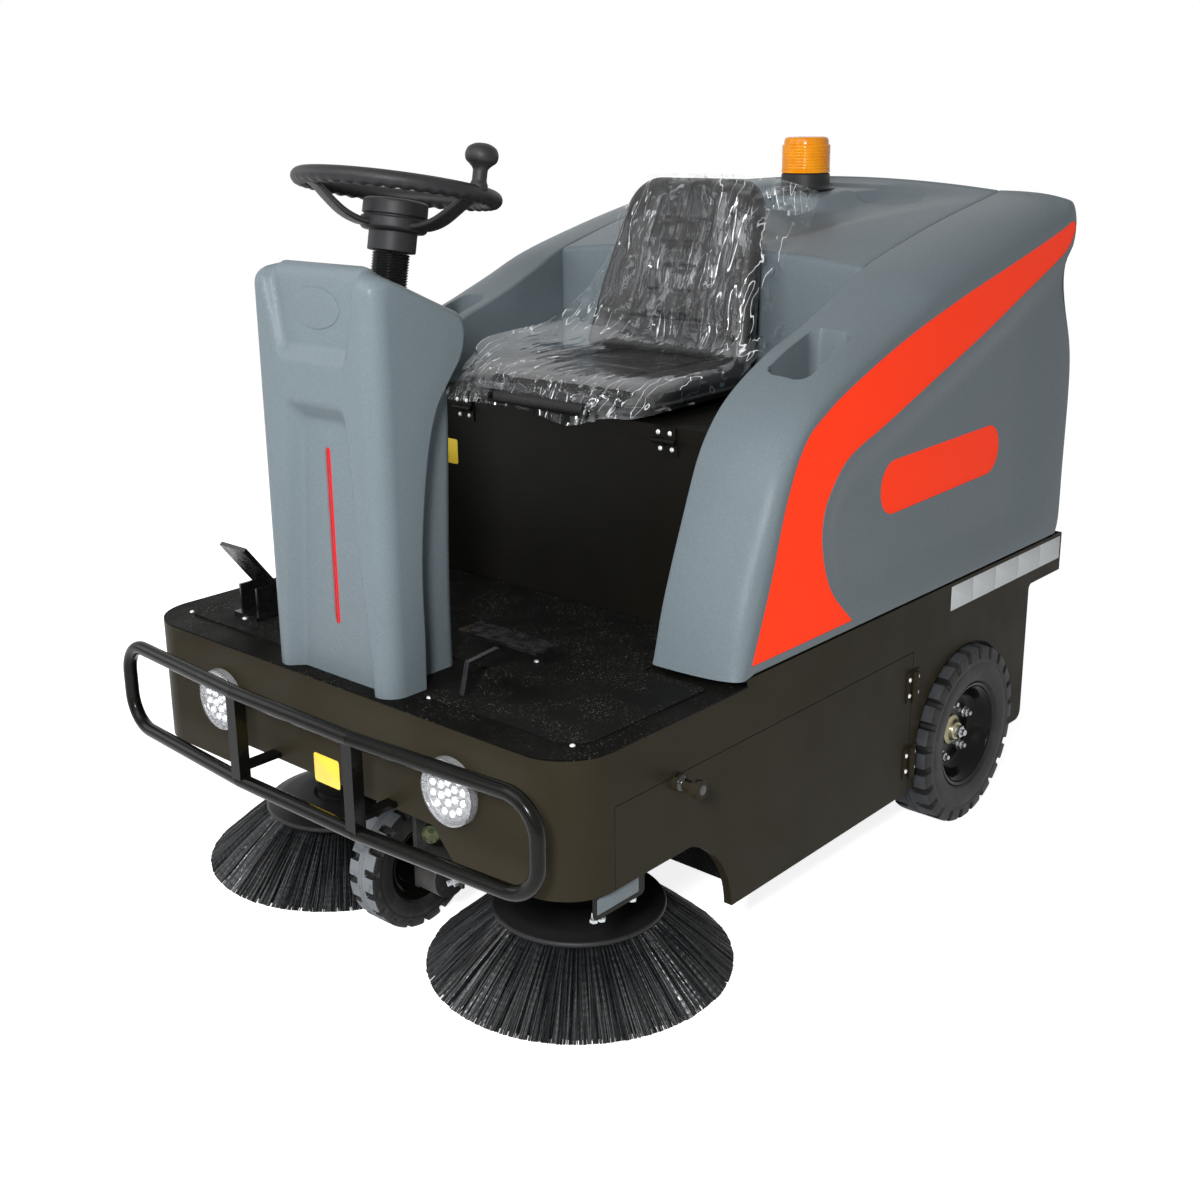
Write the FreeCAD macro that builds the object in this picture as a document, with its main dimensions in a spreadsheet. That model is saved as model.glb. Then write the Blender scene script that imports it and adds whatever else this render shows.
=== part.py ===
import FreeCAD, Part
import math
import os
import re
import Sketcher

# Compact ride-on road sweeper.
# Millimetres, +Z up, the front of the machine towards -Y, the driver's left at +X.
# The origin is on the floor, under the middle of the machine.

V = FreeCAD.Vector
X_AXIS, Y_AXIS, Z_AXIS = V(1, 0, 0), V(0, 1, 0), V(0, 0, 1)
doc = FreeCAD.newDocument("RoadSweeper")
sheet = doc.addObject("Spreadsheet::Sheet", "Sizes")

# Driving dimensions. A reach is a distance ahead of the origin, so its place is at minus y.
SIZES = {
    "body_width": 1080, "front_reach": 744, "rear_reach": 833.5, "body_corner": 94, "skin": 3,
    "deck_top": 504, "mat_thick": 3, "front_hem": 276, "rear_hem": 124,
    "door_top": "=deck_top - 92", "door_reach": "=front_reach - body_corner - 1", "door_rear": 215,
    "door_thick": 16, "door_gap": 1.5,
    "hem_arc_reach": 465, "hem_corner_reach": 353, "hem_arc_radius": 170,
    "rail_top": "=deck_top + 11", "rail_bottom": "=deck_top - 73", "panel_rear": "=rear_reach - 143.5",
    "panel_bottom": 130,
    "cut_top": 325, "cut_half": 245, "cut_foot_half": 290,
    "knob_reach": "=door_reach - 147", "knob_z": 402, "knob_radius": 14, "knob_neck": 8, "knob_length": 50,
    "hinge_pin": 4, "hinge_length": 62, "hinge_low_z": 190, "hinge_high_z": 345, "hinge_leaf": 22,
    "bar_radius": 12.5, "bar_top": 470, "bar_bottom": 310, "bar_corner": 60, "bar_end_x": 521,
    "bar_end_reach": "=front_reach + 50", "post_x": 150.6, "post_reach": "=front_reach + 77", "post_width": 24,
    "lamp_x": 294.5, "lamp_z": 400, "lamp_radius": 56.5, "lamp_proud": 24, "lamp_rim": 5,
    "axle_y": 425, "rear_tyre_radius": 182, "rear_tyre_width": 100, "wheel_proud": 22.5,
    "rear_rim_radius": 110, "arch_gap": 8, "rear_lugs": 28, "lug_depth": 9, "lug_gap": 11,
    "stub_radius": 15, "running_gap": 0.05, "hub_radius": 34,
    "steer_reach": "=front_reach - 164", "front_tyre_radius": 120, "front_tyre_width": 66,
    "front_rim_radius": 66, "front_lugs": 22, "fork_gap": 9, "fork_plate": 10, "stem_radius": 28,
    "front_axle": 12,
    "motor_radius": 40, "motor_length": 52,
    "side_brush_x": 312, "side_brush_reach": "=front_reach - 264", "side_brush_radius": 268,
    "side_disc_radius": 150, "side_disc_z": 122, "side_disc_thick": 22, "brush_lift": 1,
    "spindle_radius": 12, "brush_motor_radius": 52, "brush_motor_height": 110,
    "roller_y": 60, "roller_radius": 144, "roller_core": 70, "roller_half": 350,
    "tunnel_gap": 20, "end_plate": 6, "roller_shaft": 14, "flap_thick": 6, "flap_lift": 3,
    "hopper_half": 330, "hopper_front": 262, "hopper_low": 96, "hopper_high": "=deck_top - 108",
    "hopper_wall": 3,
    "frame_x": 220, "frame_tube": 40, "frame_height": 60,
    "box_reach": 170, "box_half": 371, "box_top": "=deck_top + 341.7", "lid_thick": 26, "lid_gap": 0.3,
    "seat_hinge_x": 253, "seat_hinge_reach": "=box_reach + 10", "seat_hinge_half": 25,
    "battery_half": 290, "battery_front": "=box_reach - 30", "battery_rear": 190, "battery_height": 230,
    "arm_reach": 329, "arm_inner_x": 376, "cover_wall": 12, "recess_wall": 247,
    "cup_x": 447, "cup_y": -26, "cup_length": 154, "cup_width": 82, "cup_corner": 24,
    "cup_floor": "=rail_top + 419", "hood_crown": 22,
    "tower_half": 152, "column_half": 104, "tower_reach": "=front_reach - 7",
    "column_reach": "=tower_reach - 192", "column_top": "=deck_top + 552",
    "tower_wall": 12, "tower_round": 34,
    "channel_top": "=deck_top + 462", "channel_depth": 20, "channel_wall": 29,
    "channel_foot_half": 112, "channel_top_half": 74,
    "badge_foot": "=deck_top + 541", "badge_depth": 12, "badge_wall": 16, "badge_half": 86,
    "wheel_reach": "=tower_reach - 195", "wheel_z": "=deck_top + 779", "wheel_tilt": 11,
    "wheel_radius": 154, "grip_radius": 14.5,
    "hub_top": 20, "hub_bottom": 67, "collar_bottom": 100, "hub_disc": 52, "collar_radius": 39,
    "boot_radius": 31, "boot_bottom": 175, "knob_turn": 12, "spinner_height": 58,
    "spinner_radius": 26, "spinner_stem": 12,
    "cushion_half": 233, "cushion_reach": 205, "cushion_rear": 190, "cushion_low": "=box_top + 40.3",
    "cushion_high": "=cushion_low + 50", "back_foot_half": 205, "back_top_half": 160,
    "back_top": "=cushion_high + 327",
    "back_rise_y": 185, "back_top_y": 270, "back_thick": 52, "back_corner": 62, "cushion_round": 16,
    "grab_radius": 12, "grab_half": 110,
    "beacon_y": 617, "beacon_radius": 55, "beacon_base": "=rail_top + 718",
    "beacon_top": "=beacon_base + 110", "beacon_foot": 28,
    "pedal_thick": 5,
}
for row, (alias, value) in enumerate(SIZES.items(), start=1):
    sheet.set("A%d" % row, alias)
    sheet.set("B%d" % row, str(value))
    sheet.setAlias("B%d" % row, alias)
doc.recompute()


class Cells:
    """The sizes as plain numbers."""


c = Cells()
for alias in SIZES:
    setattr(c, alias, float(sheet.get(alias)))


def expr(text):
    """An expression in which each size is spelled as a cell of the sheet."""
    def spelled(word):
        return "Sizes." + word.group(0) if word.group(0) in SIZES else word.group(0)
    return re.sub(r"[a-z][a-z_]*", spelled, text)


def bind(thing, **cells):
    """Ties properties of one object to expressions of the sheet."""
    for prop, text in cells.items():
        thing.setExpression(prop.replace("__", "."), expr(text))


def place(thing, x="0", y="0", z="0"):
    bind(thing, Placement__Base__x=x, Placement__Base__y=y, Placement__Base__z=z)
    return thing


def box(name, x_low, x_high, y_low, y_high, z_low, z_high):
    solid = doc.addObject("Part::Box", name)
    bind(solid, Length="(%s) - (%s)" % (x_high, x_low), Width="(%s) - (%s)" % (y_high, y_low),
         Height="(%s) - (%s)" % (z_high, z_low))
    return place(solid, x_low, y_low, z_low)


TURNS = {"X": FreeCAD.Rotation(Y_AXIS, 90), "Y": FreeCAD.Rotation(X_AXIS, -90), "Z": FreeCAD.Rotation()}


def rod(name, along, radius, length, x="0", y="0", z="0"):
    """A cylinder from a point, along +X, +Y or +Z."""
    solid = doc.addObject("Part::Cylinder", name)
    solid.Placement = FreeCAD.Placement(V(), TURNS[along])
    bind(solid, Radius=radius, Height=length)
    return place(solid, x, y, z)


def cut(name, base, *tools):
    result = doc.addObject("Part::Cut", name)
    result.Base = base
    result.Tool = tools[0] if len(tools) == 1 else fuse(name + "_tools", *tools)
    return result


def fuse(name, *solids):
    result = doc.addObject("Part::MultiFuse", name)
    result.Shapes = list(solids)
    return result


def group(name, *solids):
    """Like pieces that don't touch, in one sub-part."""
    result = doc.addObject("Part::Compound", name)
    result.Links = list(solids)
    return result


def mirror(name, source):
    """The same piece on the driver's right."""
    result = doc.addObject("Part::Mirroring", name)
    result.Source = source
    result.Normal = X_AXIS
    return result


def shaped(name, shape, base=V()):
    """A sub-part with a free form that follows the sizes."""
    result = doc.addObject("Part::Feature", name)
    result.Shape = shape
    result.Placement = FreeCAD.Placement(base, FreeCAD.Rotation())
    return result


def turned(name, outline, x="0", y="0", z="0", about="X"):
    """A body turned about X or Z; its outline is (radius, distance along the axis), bound to the sheet."""
    body = doc.addObject("PartDesign::Body", name)
    sketch = body.newObject("Sketcher::SketchObject", name + "_outline")
    role = "XY_Plane" if about == "X" else "XZ_Plane"
    plane = [item for item in body.Origin.OriginFeatures if item.Role == role][0]
    sketch.AttachmentSupport = (plane, [""])
    sketch.MapMode = "FlatFace"
    bound_outline(sketch, [(s, r) for r, s in outline] if about == "X" else outline)
    body_turn = body.newObject("PartDesign::Revolution", name + "_turn")
    body_turn.Profile = sketch
    body_turn.ReferenceAxis = (sketch, ["H_Axis" if about == "X" else "V_Axis"])
    body_turn.Angle = 360
    return place(body, x, y, z)


def bound_outline(sketch, points):
    """A closed outline of straight edges, each corner tied to two expressions of the sheet."""
    count = len(points)
    numbers = [(value_of(u), value_of(v)) for u, v in points]
    for i in range(count):
        a, b = numbers[i], numbers[(i + 1) % count]
        sketch.addGeometry(Part.LineSegment(V(a[0], a[1], 0), V(b[0], b[1], 0)), False)
    for i in range(count):
        sketch.addConstraint(Sketcher.Constraint("Coincident", i, 2, (i + 1) % count, 1))
    for i, (u, v) in enumerate(points):
        for kind, text, number in (("DistanceX", u, numbers[i][0]), ("DistanceY", v, numbers[i][1])):
            index = sketch.addConstraint(Sketcher.Constraint(kind, -1, 1, i, 1, number))
            sketch.setExpression("Constraints[%d]" % index, expr(text))


def value_of(text):
    """The number that an expression of the sheet stands for now."""
    return float(sheet.evalExpression(expr(text)))


def tied(label, source):
    source.Label = label
    SUBPARTS.append(source)
    return source


SUBPARTS = []


def rounded_wire(points, radii, to_space):
    """A closed flat outline whose corners are arcs; a radius of 0 keeps a corner sharp."""
    count = len(points)
    flat = [V(u, v, 0) for u, v in points]
    starts, ends, mids = [], [], []
    for i, corner in enumerate(flat):
        to_last = (flat[i - 1] - corner).normalize()
        to_next = (flat[(i + 1) % count] - corner).normalize()
        if radii[i] <= 0:
            starts.append(corner)
            ends.append(corner)
            mids.append(None)
            continue
        half_angle = to_last.getAngle(to_next) / 2
        reach = radii[i] / math.tan(half_angle)
        centre = corner + (to_last + to_next).normalize() * (radii[i] / math.sin(half_angle))
        starts.append(corner + to_last * reach)
        ends.append(corner + to_next * reach)
        mids.append(centre + (corner - centre).normalize() * radii[i])
    edges = []
    for i in range(count):
        if mids[i] is not None:
            arc = Part.Arc(to_space(starts[i]), to_space(mids[i]), to_space(ends[i]))
            edges.append(arc.toShape())
        after = (i + 1) % count
        if (ends[i] - starts[after]).Length > 1e-6:
            edges.append(Part.LineSegment(to_space(ends[i]), to_space(starts[after])).toShape())
    return Part.Wire(edges)


def slab(points, radii, to_space, depth):
    """A rounded outline pushed along a vector."""
    if not isinstance(radii, (list, tuple)):
        radii = [radii] * len(points)
    return Part.Face(rounded_wire(points, radii, to_space)).extrude(depth)


def at_x(x):
    return lambda p: V(x, p.x, p.y)


def at_y(y):
    return lambda p: V(p.x, y, p.y)


def at_z(z):
    return lambda p: V(p.x, p.y, z)


def solid_box(x_low, x_high, y_low, y_high, z_low, z_high):
    return Part.makeBox(x_high - x_low, y_high - y_low, z_high - z_low, V(x_low, y_low, z_low))


def bar(radius, start, end):
    """A round bar between two points."""
    return Part.makeCylinder(radius, (end - start).Length, start, end - start)


def both_sides(shape):
    """The shape and its mirror image, as one piece that doesn't touch itself."""
    return Part.makeCompound([shape, shape.mirror(V(), X_AXIS)])


HALF = c.body_width / 2
DECK_LOW = c.deck_top - c.skin

# Chassis


def chassis_shape():
    """Two box rails under the deck, cross members, the steering block and the wheels' side plates."""
    low, high = DECK_LOW - c.frame_height, DECK_LOW
    half_tube = c.frame_tube / 2
    rear = c.panel_rear - c.skin
    rail_front = -c.front_reach + 44
    rails = [solid_box(side * c.frame_x - half_tube, side * c.frame_x + half_tube, rail_front, rear, low, high)
             for side in (-1, 1)]
    inner = c.frame_x - half_tube
    crosses = [solid_box(-inner, inner, y - half_tube, y + half_tube, low, high)
               for y in (rail_front + half_tube, -c.arm_reach + 19, c.recess_wall, rear - half_tube)]
    block = solid_box(-inner, inner, -c.steer_reach - 45, -c.steer_reach + 45, low, high)
    stem_bore = bar(c.stem_radius + c.running_gap, V(0, -c.steer_reach, low - 1),
                    V(0, -c.steer_reach, high + 1))
    block = block.cut(stem_bore)
    plate_x = HALF + c.wheel_proud - c.rear_tyre_width - 20
    arms, stubs = [], []
    for side in (-1, 1):
        reach = sorted((side * c.frame_x, side * plate_x))
        arms.append(solid_box(reach[0], reach[1], c.axle_y - half_tube, c.axle_y + half_tube, low, high))
        wall = sorted((side * (plate_x - 8), side * plate_x))
        arms.append(solid_box(wall[0], wall[1], c.axle_y - 55, c.axle_y + 55, c.rear_tyre_radius - 45, high))
        stub_end = plate_x + 20 + 0.68 * c.rear_tyre_width
        stubs.append(bar(c.stub_radius, V(side * (plate_x - 4), c.axle_y, c.rear_tyre_radius),
                         V(side * stub_end, c.axle_y, c.rear_tyre_radius)))
    guides = []
    for side in (-1, 1):
        web = sorted((side * (c.hopper_half + 24), side * (c.hopper_half + 28)))
        foot = sorted((side * (c.hopper_half + 6), side * (c.hopper_half + 28)))
        guides.append(solid_box(web[0], web[1], c.hopper_front + 8, rear, c.hopper_high - 26, DECK_LOW))
        guides.append(solid_box(foot[0], foot[1], c.hopper_front + 8, rear, c.hopper_high - 26,
                                c.hopper_high - 18 - c.lid_gap))
    return rails[0].multiFuse(rails[1:] + crosses + [block] + arms + stubs + guides).removeSplitter()


def apron_shape():
    """The bent front sheet: rounded corners, lamp holes and the raised lower edge over the front wheel."""
    def bend(half, front, radius, over):
        rear = -c.door_reach + over
        corners = [(-half, rear), (half, rear), (half, front), (-half, front)]
        corners.reverse()
        return slab(corners, [radius, radius, 0, 0], at_z(c.front_hem - over),
                    V(0, 0, DECK_LOW - c.front_hem + 2 * over))
    outer = bend(HALF, -c.front_reach, c.body_corner, 0)
    inner = bend(HALF - c.skin, -c.front_reach + c.skin, c.body_corner - c.skin, 1)
    arch = slab([(-c.cut_foot_half, c.front_hem - 1), (c.cut_foot_half, c.front_hem - 1),
                 (c.cut_half, c.cut_top), (-c.cut_half, c.cut_top)], 0, at_y(-c.front_reach - 1), V(0, 20, 0))
    holes = [bar(c.lamp_radius - 8, V(side * c.lamp_x, -c.front_reach - 5, c.lamp_z),
                 V(side * c.lamp_x, -c.front_reach + 20, c.lamp_z)) for side in (-1, 1)]
    return outer.cut(inner).cut(arch).cut(holes[0]).cut(holes[1])


def deck_shape():
    corners = [(-HALF + c.skin, c.rear_reach - 15), (HALF - c.skin, c.rear_reach - 15),
               (HALF - c.skin, -c.arm_reach + 12), (HALF, -c.arm_reach + 12),
               (HALF, -c.front_reach), (-HALF, -c.front_reach),
               (-HALF, -c.arm_reach + 12), (-HALF + c.skin, -c.arm_reach + 12)]
    corners.reverse()
    radii = [0, 0, c.body_corner, c.body_corner, 0, 0, 0, 0]
    return slab(corners, radii, at_z(DECK_LOW), V(0, 0, c.skin))


def mat_shape():
    """The rubber mat on the deck, cut out around the steering tower's foot."""
    half, front, rear = HALF - 40, -c.front_reach + 60, -c.box_reach - 8
    narrow, step = c.arm_inner_x - 8, -c.arm_reach - 45
    corners = [(-half, front), (half, front), (half, step), (narrow, step), (narrow, rear), (-narrow, rear),
               (-narrow, step), (-half, step)]
    mat = slab(corners, [50, 50, 10, 0, 6, 6, 0, 10], at_z(c.deck_top), V(0, 0, c.mat_thick))
    foot = solid_box(-c.tower_half - 14, c.tower_half + 14, front - 1, -c.column_reach + 12,
                     c.deck_top - 1, c.deck_top + c.mat_thick + 1)
    return mat.cut(foot)


def side_panel_shape():
    """The side sheet: a band over the door, the wheel arch and the rail that runs back under the hood."""
    gap, edge = c.door_gap, c.door_rear + c.door_gap
    outline = [(-c.door_reach, c.door_top + gap), (edge, c.door_top + gap), (edge, c.panel_bottom),
               (c.panel_rear, c.panel_bottom), (c.panel_rear, c.rail_bottom), (c.rear_reach, c.rail_bottom),
               (c.rear_reach, c.rail_top), (-c.arm_reach + 12, c.rail_top), (-c.arm_reach + 12, DECK_LOW),
               (-c.door_reach, DECK_LOW)]
    sheet_metal = slab(outline, [0, 0, 0, 20, 12, 0, 0, 0, 0, 0], at_x(HALF - c.skin), V(c.skin, 0, 0))
    arch = bar(c.rear_tyre_radius + c.arch_gap, V(HALF - 20, c.axle_y, c.rear_tyre_radius),
               V(HALF + 20, c.axle_y, c.rear_tyre_radius))
    sheet_metal = sheet_metal.cut(arch)
    leaves = []
    for z in (c.hinge_low_z, c.hinge_high_z):
        low, high = z - c.hinge_length / 2, z + c.hinge_length / 2
        pin_x, pin_y = HALF + c.hinge_pin + 2.5, c.door_rear + gap / 2
        leaves.append(solid_box(HALF, HALF + 3, pin_y + c.hinge_pin + 3, pin_y + c.hinge_leaf, low, high))
        leaves.append(bar(c.hinge_pin + 2, V(pin_x, pin_y, low), V(pin_x, pin_y, z - 0.3)))
        leaves.append(bar(c.hinge_pin, V(pin_x, pin_y, low), V(pin_x, pin_y, high)))
        leaves.append(solid_box(HALF + 0.5, HALF + 3, pin_y - 0.5, pin_y + c.hinge_pin + 4, low, z - 0.3))
    return sheet_metal.multiFuse(leaves).removeSplitter()


def door_shape():
    """A folded door pan with its rising front hem, the hinges' moving leaves and the spool-shaped knob."""
    gap = c.door_gap
    front, rear, top = -c.door_reach + gap, c.door_rear - gap / 2, c.door_top
    arc_start, arc_end = V(-c.hem_corner_reach, c.rear_hem, 0), V(-c.hem_arc_reach, c.front_hem, 0)
    chord = arc_end - arc_start
    across = V(chord.y, -chord.x, 0).normalize()
    if across.x > 0:
        across = -across
    rise = math.sqrt(c.hem_arc_radius ** 2 - chord.Length ** 2 / 4)
    middle = arc_start + chord * 0.5
    arc_mid = middle + across * (rise - c.hem_arc_radius)

    def pan(inset, x_low, depth):
        put = at_x(x_low)
        start, mid, end = (V(p.x + inset, p.y + inset * 0.6, 0) for p in (arc_start, arc_mid, arc_end))
        start.y, end.y = c.rear_hem + inset, c.front_hem + inset
        corners = [end, V(front + inset, c.front_hem + inset, 0), V(front + inset, top - inset, 0),
                   V(rear - inset, top - inset, 0), V(rear - inset, c.rear_hem + inset, 0), start]
        edges = [Part.LineSegment(put(a), put(b)).toShape() for a, b in zip(corners, corners[1:])]
        edges.append(Part.Arc(put(start), put(mid), put(end)).toShape())
        return Part.Face(Part.Wire(edges)).extrude(V(depth, 0, 0))
    door = pan(0, HALF - c.door_thick, c.door_thick)
    door = door.cut(pan(c.skin, HALF - c.door_thick - 1, c.door_thick - c.skin + 1))
    pieces = []
    pin_x, pin_y = HALF + c.hinge_pin + 2.5, c.door_rear + gap / 2
    for z in (c.hinge_low_z, c.hinge_high_z):
        low, high = z - c.hinge_length / 2, z + c.hinge_length / 2
        pieces.append(solid_box(HALF, HALF + 3, pin_y - c.hinge_leaf, pin_y - c.hinge_pin - 3, low, high))
        arm = solid_box(HALF + 0.5, HALF + 3, pin_y - c.hinge_pin - 4, pin_y + 0.5, z + 0.3, high)
        knuckle = bar(c.hinge_pin + 2, V(pin_x, pin_y, z + 0.3), V(pin_x, pin_y, high)).fuse(arm)
        bore = bar(c.hinge_pin + c.running_gap, V(pin_x, pin_y, low - 1), V(pin_x, pin_y, high + 1))
        pieces.append(knuckle.cut(bore))
    y, z = -c.knob_reach, c.knob_z
    for start, end, radius in ((0, 0.2, c.knob_radius), (0.2, 0.7, c.knob_neck), (0.7, 1, c.knob_radius)):
        pieces.append(bar(radius, V(HALF + start * c.knob_length, y, z), V(HALF + end * c.knob_length, y, z)))
    return door.multiFuse(pieces).removeSplitter()


def rear_frame_shape():
    """The cross sheet behind the hopper's top and the bar that closes the overhanging rail."""
    inside = HALF - c.skin
    cross = solid_box(-inside, inside, c.panel_rear - c.skin, c.panel_rear, c.hopper_high + 8, DECK_LOW)
    closing = solid_box(-inside, inside, c.rear_reach - c.skin, c.rear_reach, c.rail_bottom, c.rail_top)
    lip = solid_box(-inside, inside, c.panel_rear, c.rear_reach, c.rail_bottom, c.rail_bottom + c.skin)
    return cross.multiFuse([closing, lip]).removeSplitter()


def bull_bar_shape():
    """A tube loop ahead of the apron: rounded ends, two posts and the arms that carry it."""
    def round_tube(edges, start, direction):
        ring = Part.Wire(Part.makeCircle(c.bar_radius, start, direction))
        return Part.Wire(edges).makePipeShell([ring], True, False)
    pieces = []
    for z in (c.bar_top, c.bar_bottom):
        pieces.append(bar(c.bar_radius, V(-c.post_x, -c.post_reach, z), V(c.post_x, -c.post_reach, z)))
    for side in (-1, 1):
        inner = V(side * c.post_x, -c.post_reach, 0)
        along = (V(side * c.bar_end_x, -c.bar_end_reach, 0) - inner)
        length = along.Length
        along.normalize()

        def at(u, z):
            return inner + along * u + Z_AXIS * z
        r, diagonal = c.bar_corner, c.bar_corner * (1 - math.sqrt(0.5))
        top, bottom = c.bar_top, c.bar_bottom
        edges = [Part.LineSegment(at(0, top), at(length - r, top)).toShape(),
                 Part.Arc(at(length - r, top), at(length - diagonal, top - diagonal),
                          at(length, top - r)).toShape(),
                 Part.LineSegment(at(length, top - r), at(length, bottom + r)).toShape(),
                 Part.Arc(at(length, bottom + r), at(length - diagonal, bottom + diagonal),
                          at(length - r, bottom)).toShape(),
                 Part.LineSegment(at(length - r, bottom), at(0, bottom)).toShape()]
        pieces.append(round_tube(edges, at(0, top), along))
        half, y = c.post_width / 2, -c.post_reach
        x = side * c.post_x
        pieces.append(solid_box(x - half, x + half, y - half + 1, y + half - 1, bottom, top))
        pieces.append(solid_box(x - half, x + half, y, -c.front_reach, c.cut_top + 6, c.cut_top + 14))
    return pieces[0].multiFuse(pieces[1:])


tied("chassis_frame", shaped("Chassis", chassis_shape()))
tied("front_apron", shaped("Apron", apron_shape()))
tied("deck_plate", shaped("Deck", deck_shape()))
tied("floor_mat", shaped("Mat", mat_shape()))
left_panel = tied("side_panel_left", shaped("SidePanel", side_panel_shape()))
tied("side_panel_right", mirror("SidePanelRight", left_panel))
left_door = tied("door_left", shaped("Door", door_shape()))
tied("door_right", mirror("DoorRight", left_door))
tied("rear_frame", shaped("RearFrame", rear_frame_shape()))
tied("bull_bar", shaped("BullBar", bull_bar_shape()))

# Head lamps

def lamp_pair(name, radius, start, end):
    solids = [rod("%s_%d" % (name, side > 0), "Y", radius, "(%s) - (%s)" % (end, start),
                  "%d * lamp_x" % side, start, "lamp_z") for side in (-1, 1)]
    return group(name, *solids)


rims = [cut("LampRim%d" % (side > 0),
            rod("LampRimOut%d" % (side > 0), "Y", "lamp_radius", "lamp_proud", "%d * lamp_x" % side,
                "-front_reach - lamp_proud", "lamp_z"),
            rod("LampRimIn%d" % (side > 0), "Y", "lamp_radius - lamp_rim", "lamp_proud - lamp_rim",
                "%d * lamp_x" % side, "-front_reach - lamp_proud", "lamp_z")) for side in (-1, 1)]
tied("lamp_housings", group("LampHousings", *rims))
tied("lamp_lenses", lamp_pair("LampLenses", "lamp_radius - lamp_rim", "-front_reach - lamp_proud",
                              "-front_reach - lamp_rim"))

# Rear wheels, front wheel


def rim_outline(rim_radius, width, bore, hub, disc_at, hub_out):
    """(radius, distance) corners of a dished steel rim."""
    barrel, wall = "%s - 10" % rim_radius, "%s - 15" % rim_radius
    return [(bore, "%s - 10" % disc_at), (hub, "%s - 10" % disc_at), (hub, disc_at), (wall, disc_at),
            (wall, "6"), (rim_radius, "6"), (rim_radius, "12"), (barrel, "12"), (barrel, "%s - 12" % width),
            (rim_radius, "%s - 12" % width), (rim_radius, "%s - 6" % width), (wall, "%s - 6" % width),
            (wall, "%s + 6" % disc_at), (hub, "%s + 6" % disc_at), (hub, hub_out), (bore, hub_out)]


def tyre_shape(radius, width, rim_radius, lugs):
    """A solid tyre with two staggered rows of tread blocks; its inner side is at x = 0."""
    bead, carcass = rim_radius - 10, radius - c.lug_depth
    side = [(bead, 12), (rim_radius, 12), (rim_radius + 4, 4), ((rim_radius + carcass) / 2, 0),
            (carcass - 6, 2), (carcass, 8)]
    section = side + [(r, width - s) for r, s in reversed(side)]
    corners = [V(s, r, 0) for r, s in section]
    face = Part.Face(Part.makePolygon(corners + [corners[0]]))
    tyre = face.revolve(V(), X_AXIS, 360)
    step = 360 / lugs
    rows = []
    for row, start in enumerate((5, width / 2 + 1)):
        length = width / 2 - 6
        ring = Part.makeCylinder(radius, length, V(start, 0, 0), X_AXIS)
        ring = ring.cut(Part.makeCylinder(carcass - 1, length, V(start, 0, 0), X_AXIS))
        slots = []
        for i in range(int(lugs)):
            slot = solid_box(start - 1, start + length + 1, -c.lug_gap / 2, c.lug_gap / 2, carcass,
                             radius + 2)
            slot.rotate(V(), X_AXIS, (i + row / 2) * step)
            slots.append(slot)
        rows.append(ring.cut(Part.makeCompound(slots)))
    return tyre.multiFuse(rows)


def rear_tyre_x():
    return HALF + c.wheel_proud - c.rear_tyre_width


REAR_INNER = "body_width / 2 + wheel_proud - rear_tyre_width"
rim = tied("rear_rim_left", turned("RearRim", rim_outline(
    "rear_rim_radius", "rear_tyre_width", "stub_radius + running_gap", "hub_radius",
    "rear_tyre_width * 0.45", "rear_tyre_width * 0.7"), REAR_INNER, "axle_y", "rear_tyre_radius"))
tied("rear_rim_right", mirror("RearRimRight", rim))
tyre = tyre_shape(c.rear_tyre_radius, c.rear_tyre_width, c.rear_rim_radius, c.rear_lugs)
tyre = tied("rear_tyre_left", shaped("RearTyre", tyre, V(rear_tyre_x(), c.axle_y, c.rear_tyre_radius)))
tied("rear_tyre_right", mirror("RearTyreRight", tyre))
tied("front_rim", turned("FrontRim", rim_outline(
    "front_rim_radius", "front_tyre_width", "front_axle + running_gap", "front_axle + 14",
    "front_tyre_width * 0.45", "front_tyre_width * 0.8"), "-front_tyre_width / 2", "-steer_reach",
    "front_tyre_radius"))
tyre = tyre_shape(c.front_tyre_radius, c.front_tyre_width, c.front_rim_radius, c.front_lugs)
tied("front_tyre", shaped("FrontTyre", tyre, V(-c.front_tyre_width / 2, -c.steer_reach, c.front_tyre_radius)))


def fork_shape():
    """The steered fork: stem, crown, two arms, axle and the drive motor on its left arm."""
    y, axle_z = -c.steer_reach, c.front_tyre_radius
    inside = c.front_tyre_width / 2 + c.fork_gap
    outside = inside + c.fork_plate
    crown_low = 2 * c.front_tyre_radius + 16
    pieces = [solid_box(-outside, outside, y - 55, y + 55, crown_low, crown_low + 12)]
    for side in (-1, 1):
        x = sorted((side * inside, side * outside))
        pieces.append(solid_box(x[0], x[1], y - 32, y + 32, axle_z - 28, crown_low))
    pieces.append(bar(c.front_axle, V(-outside, y, axle_z), V(outside, y, axle_z)))
    pieces.append(bar(c.stem_radius, V(0, y, crown_low), V(0, y, DECK_LOW - 6)))
    pieces.append(bar(c.motor_radius, V(outside, y, axle_z), V(outside + c.motor_length, y, axle_z)))
    return pieces[0].multiFuse(pieces[1:]).removeSplitter()


tied("steering_fork", shaped("Fork", fork_shape()))

# Side brushes

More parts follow.
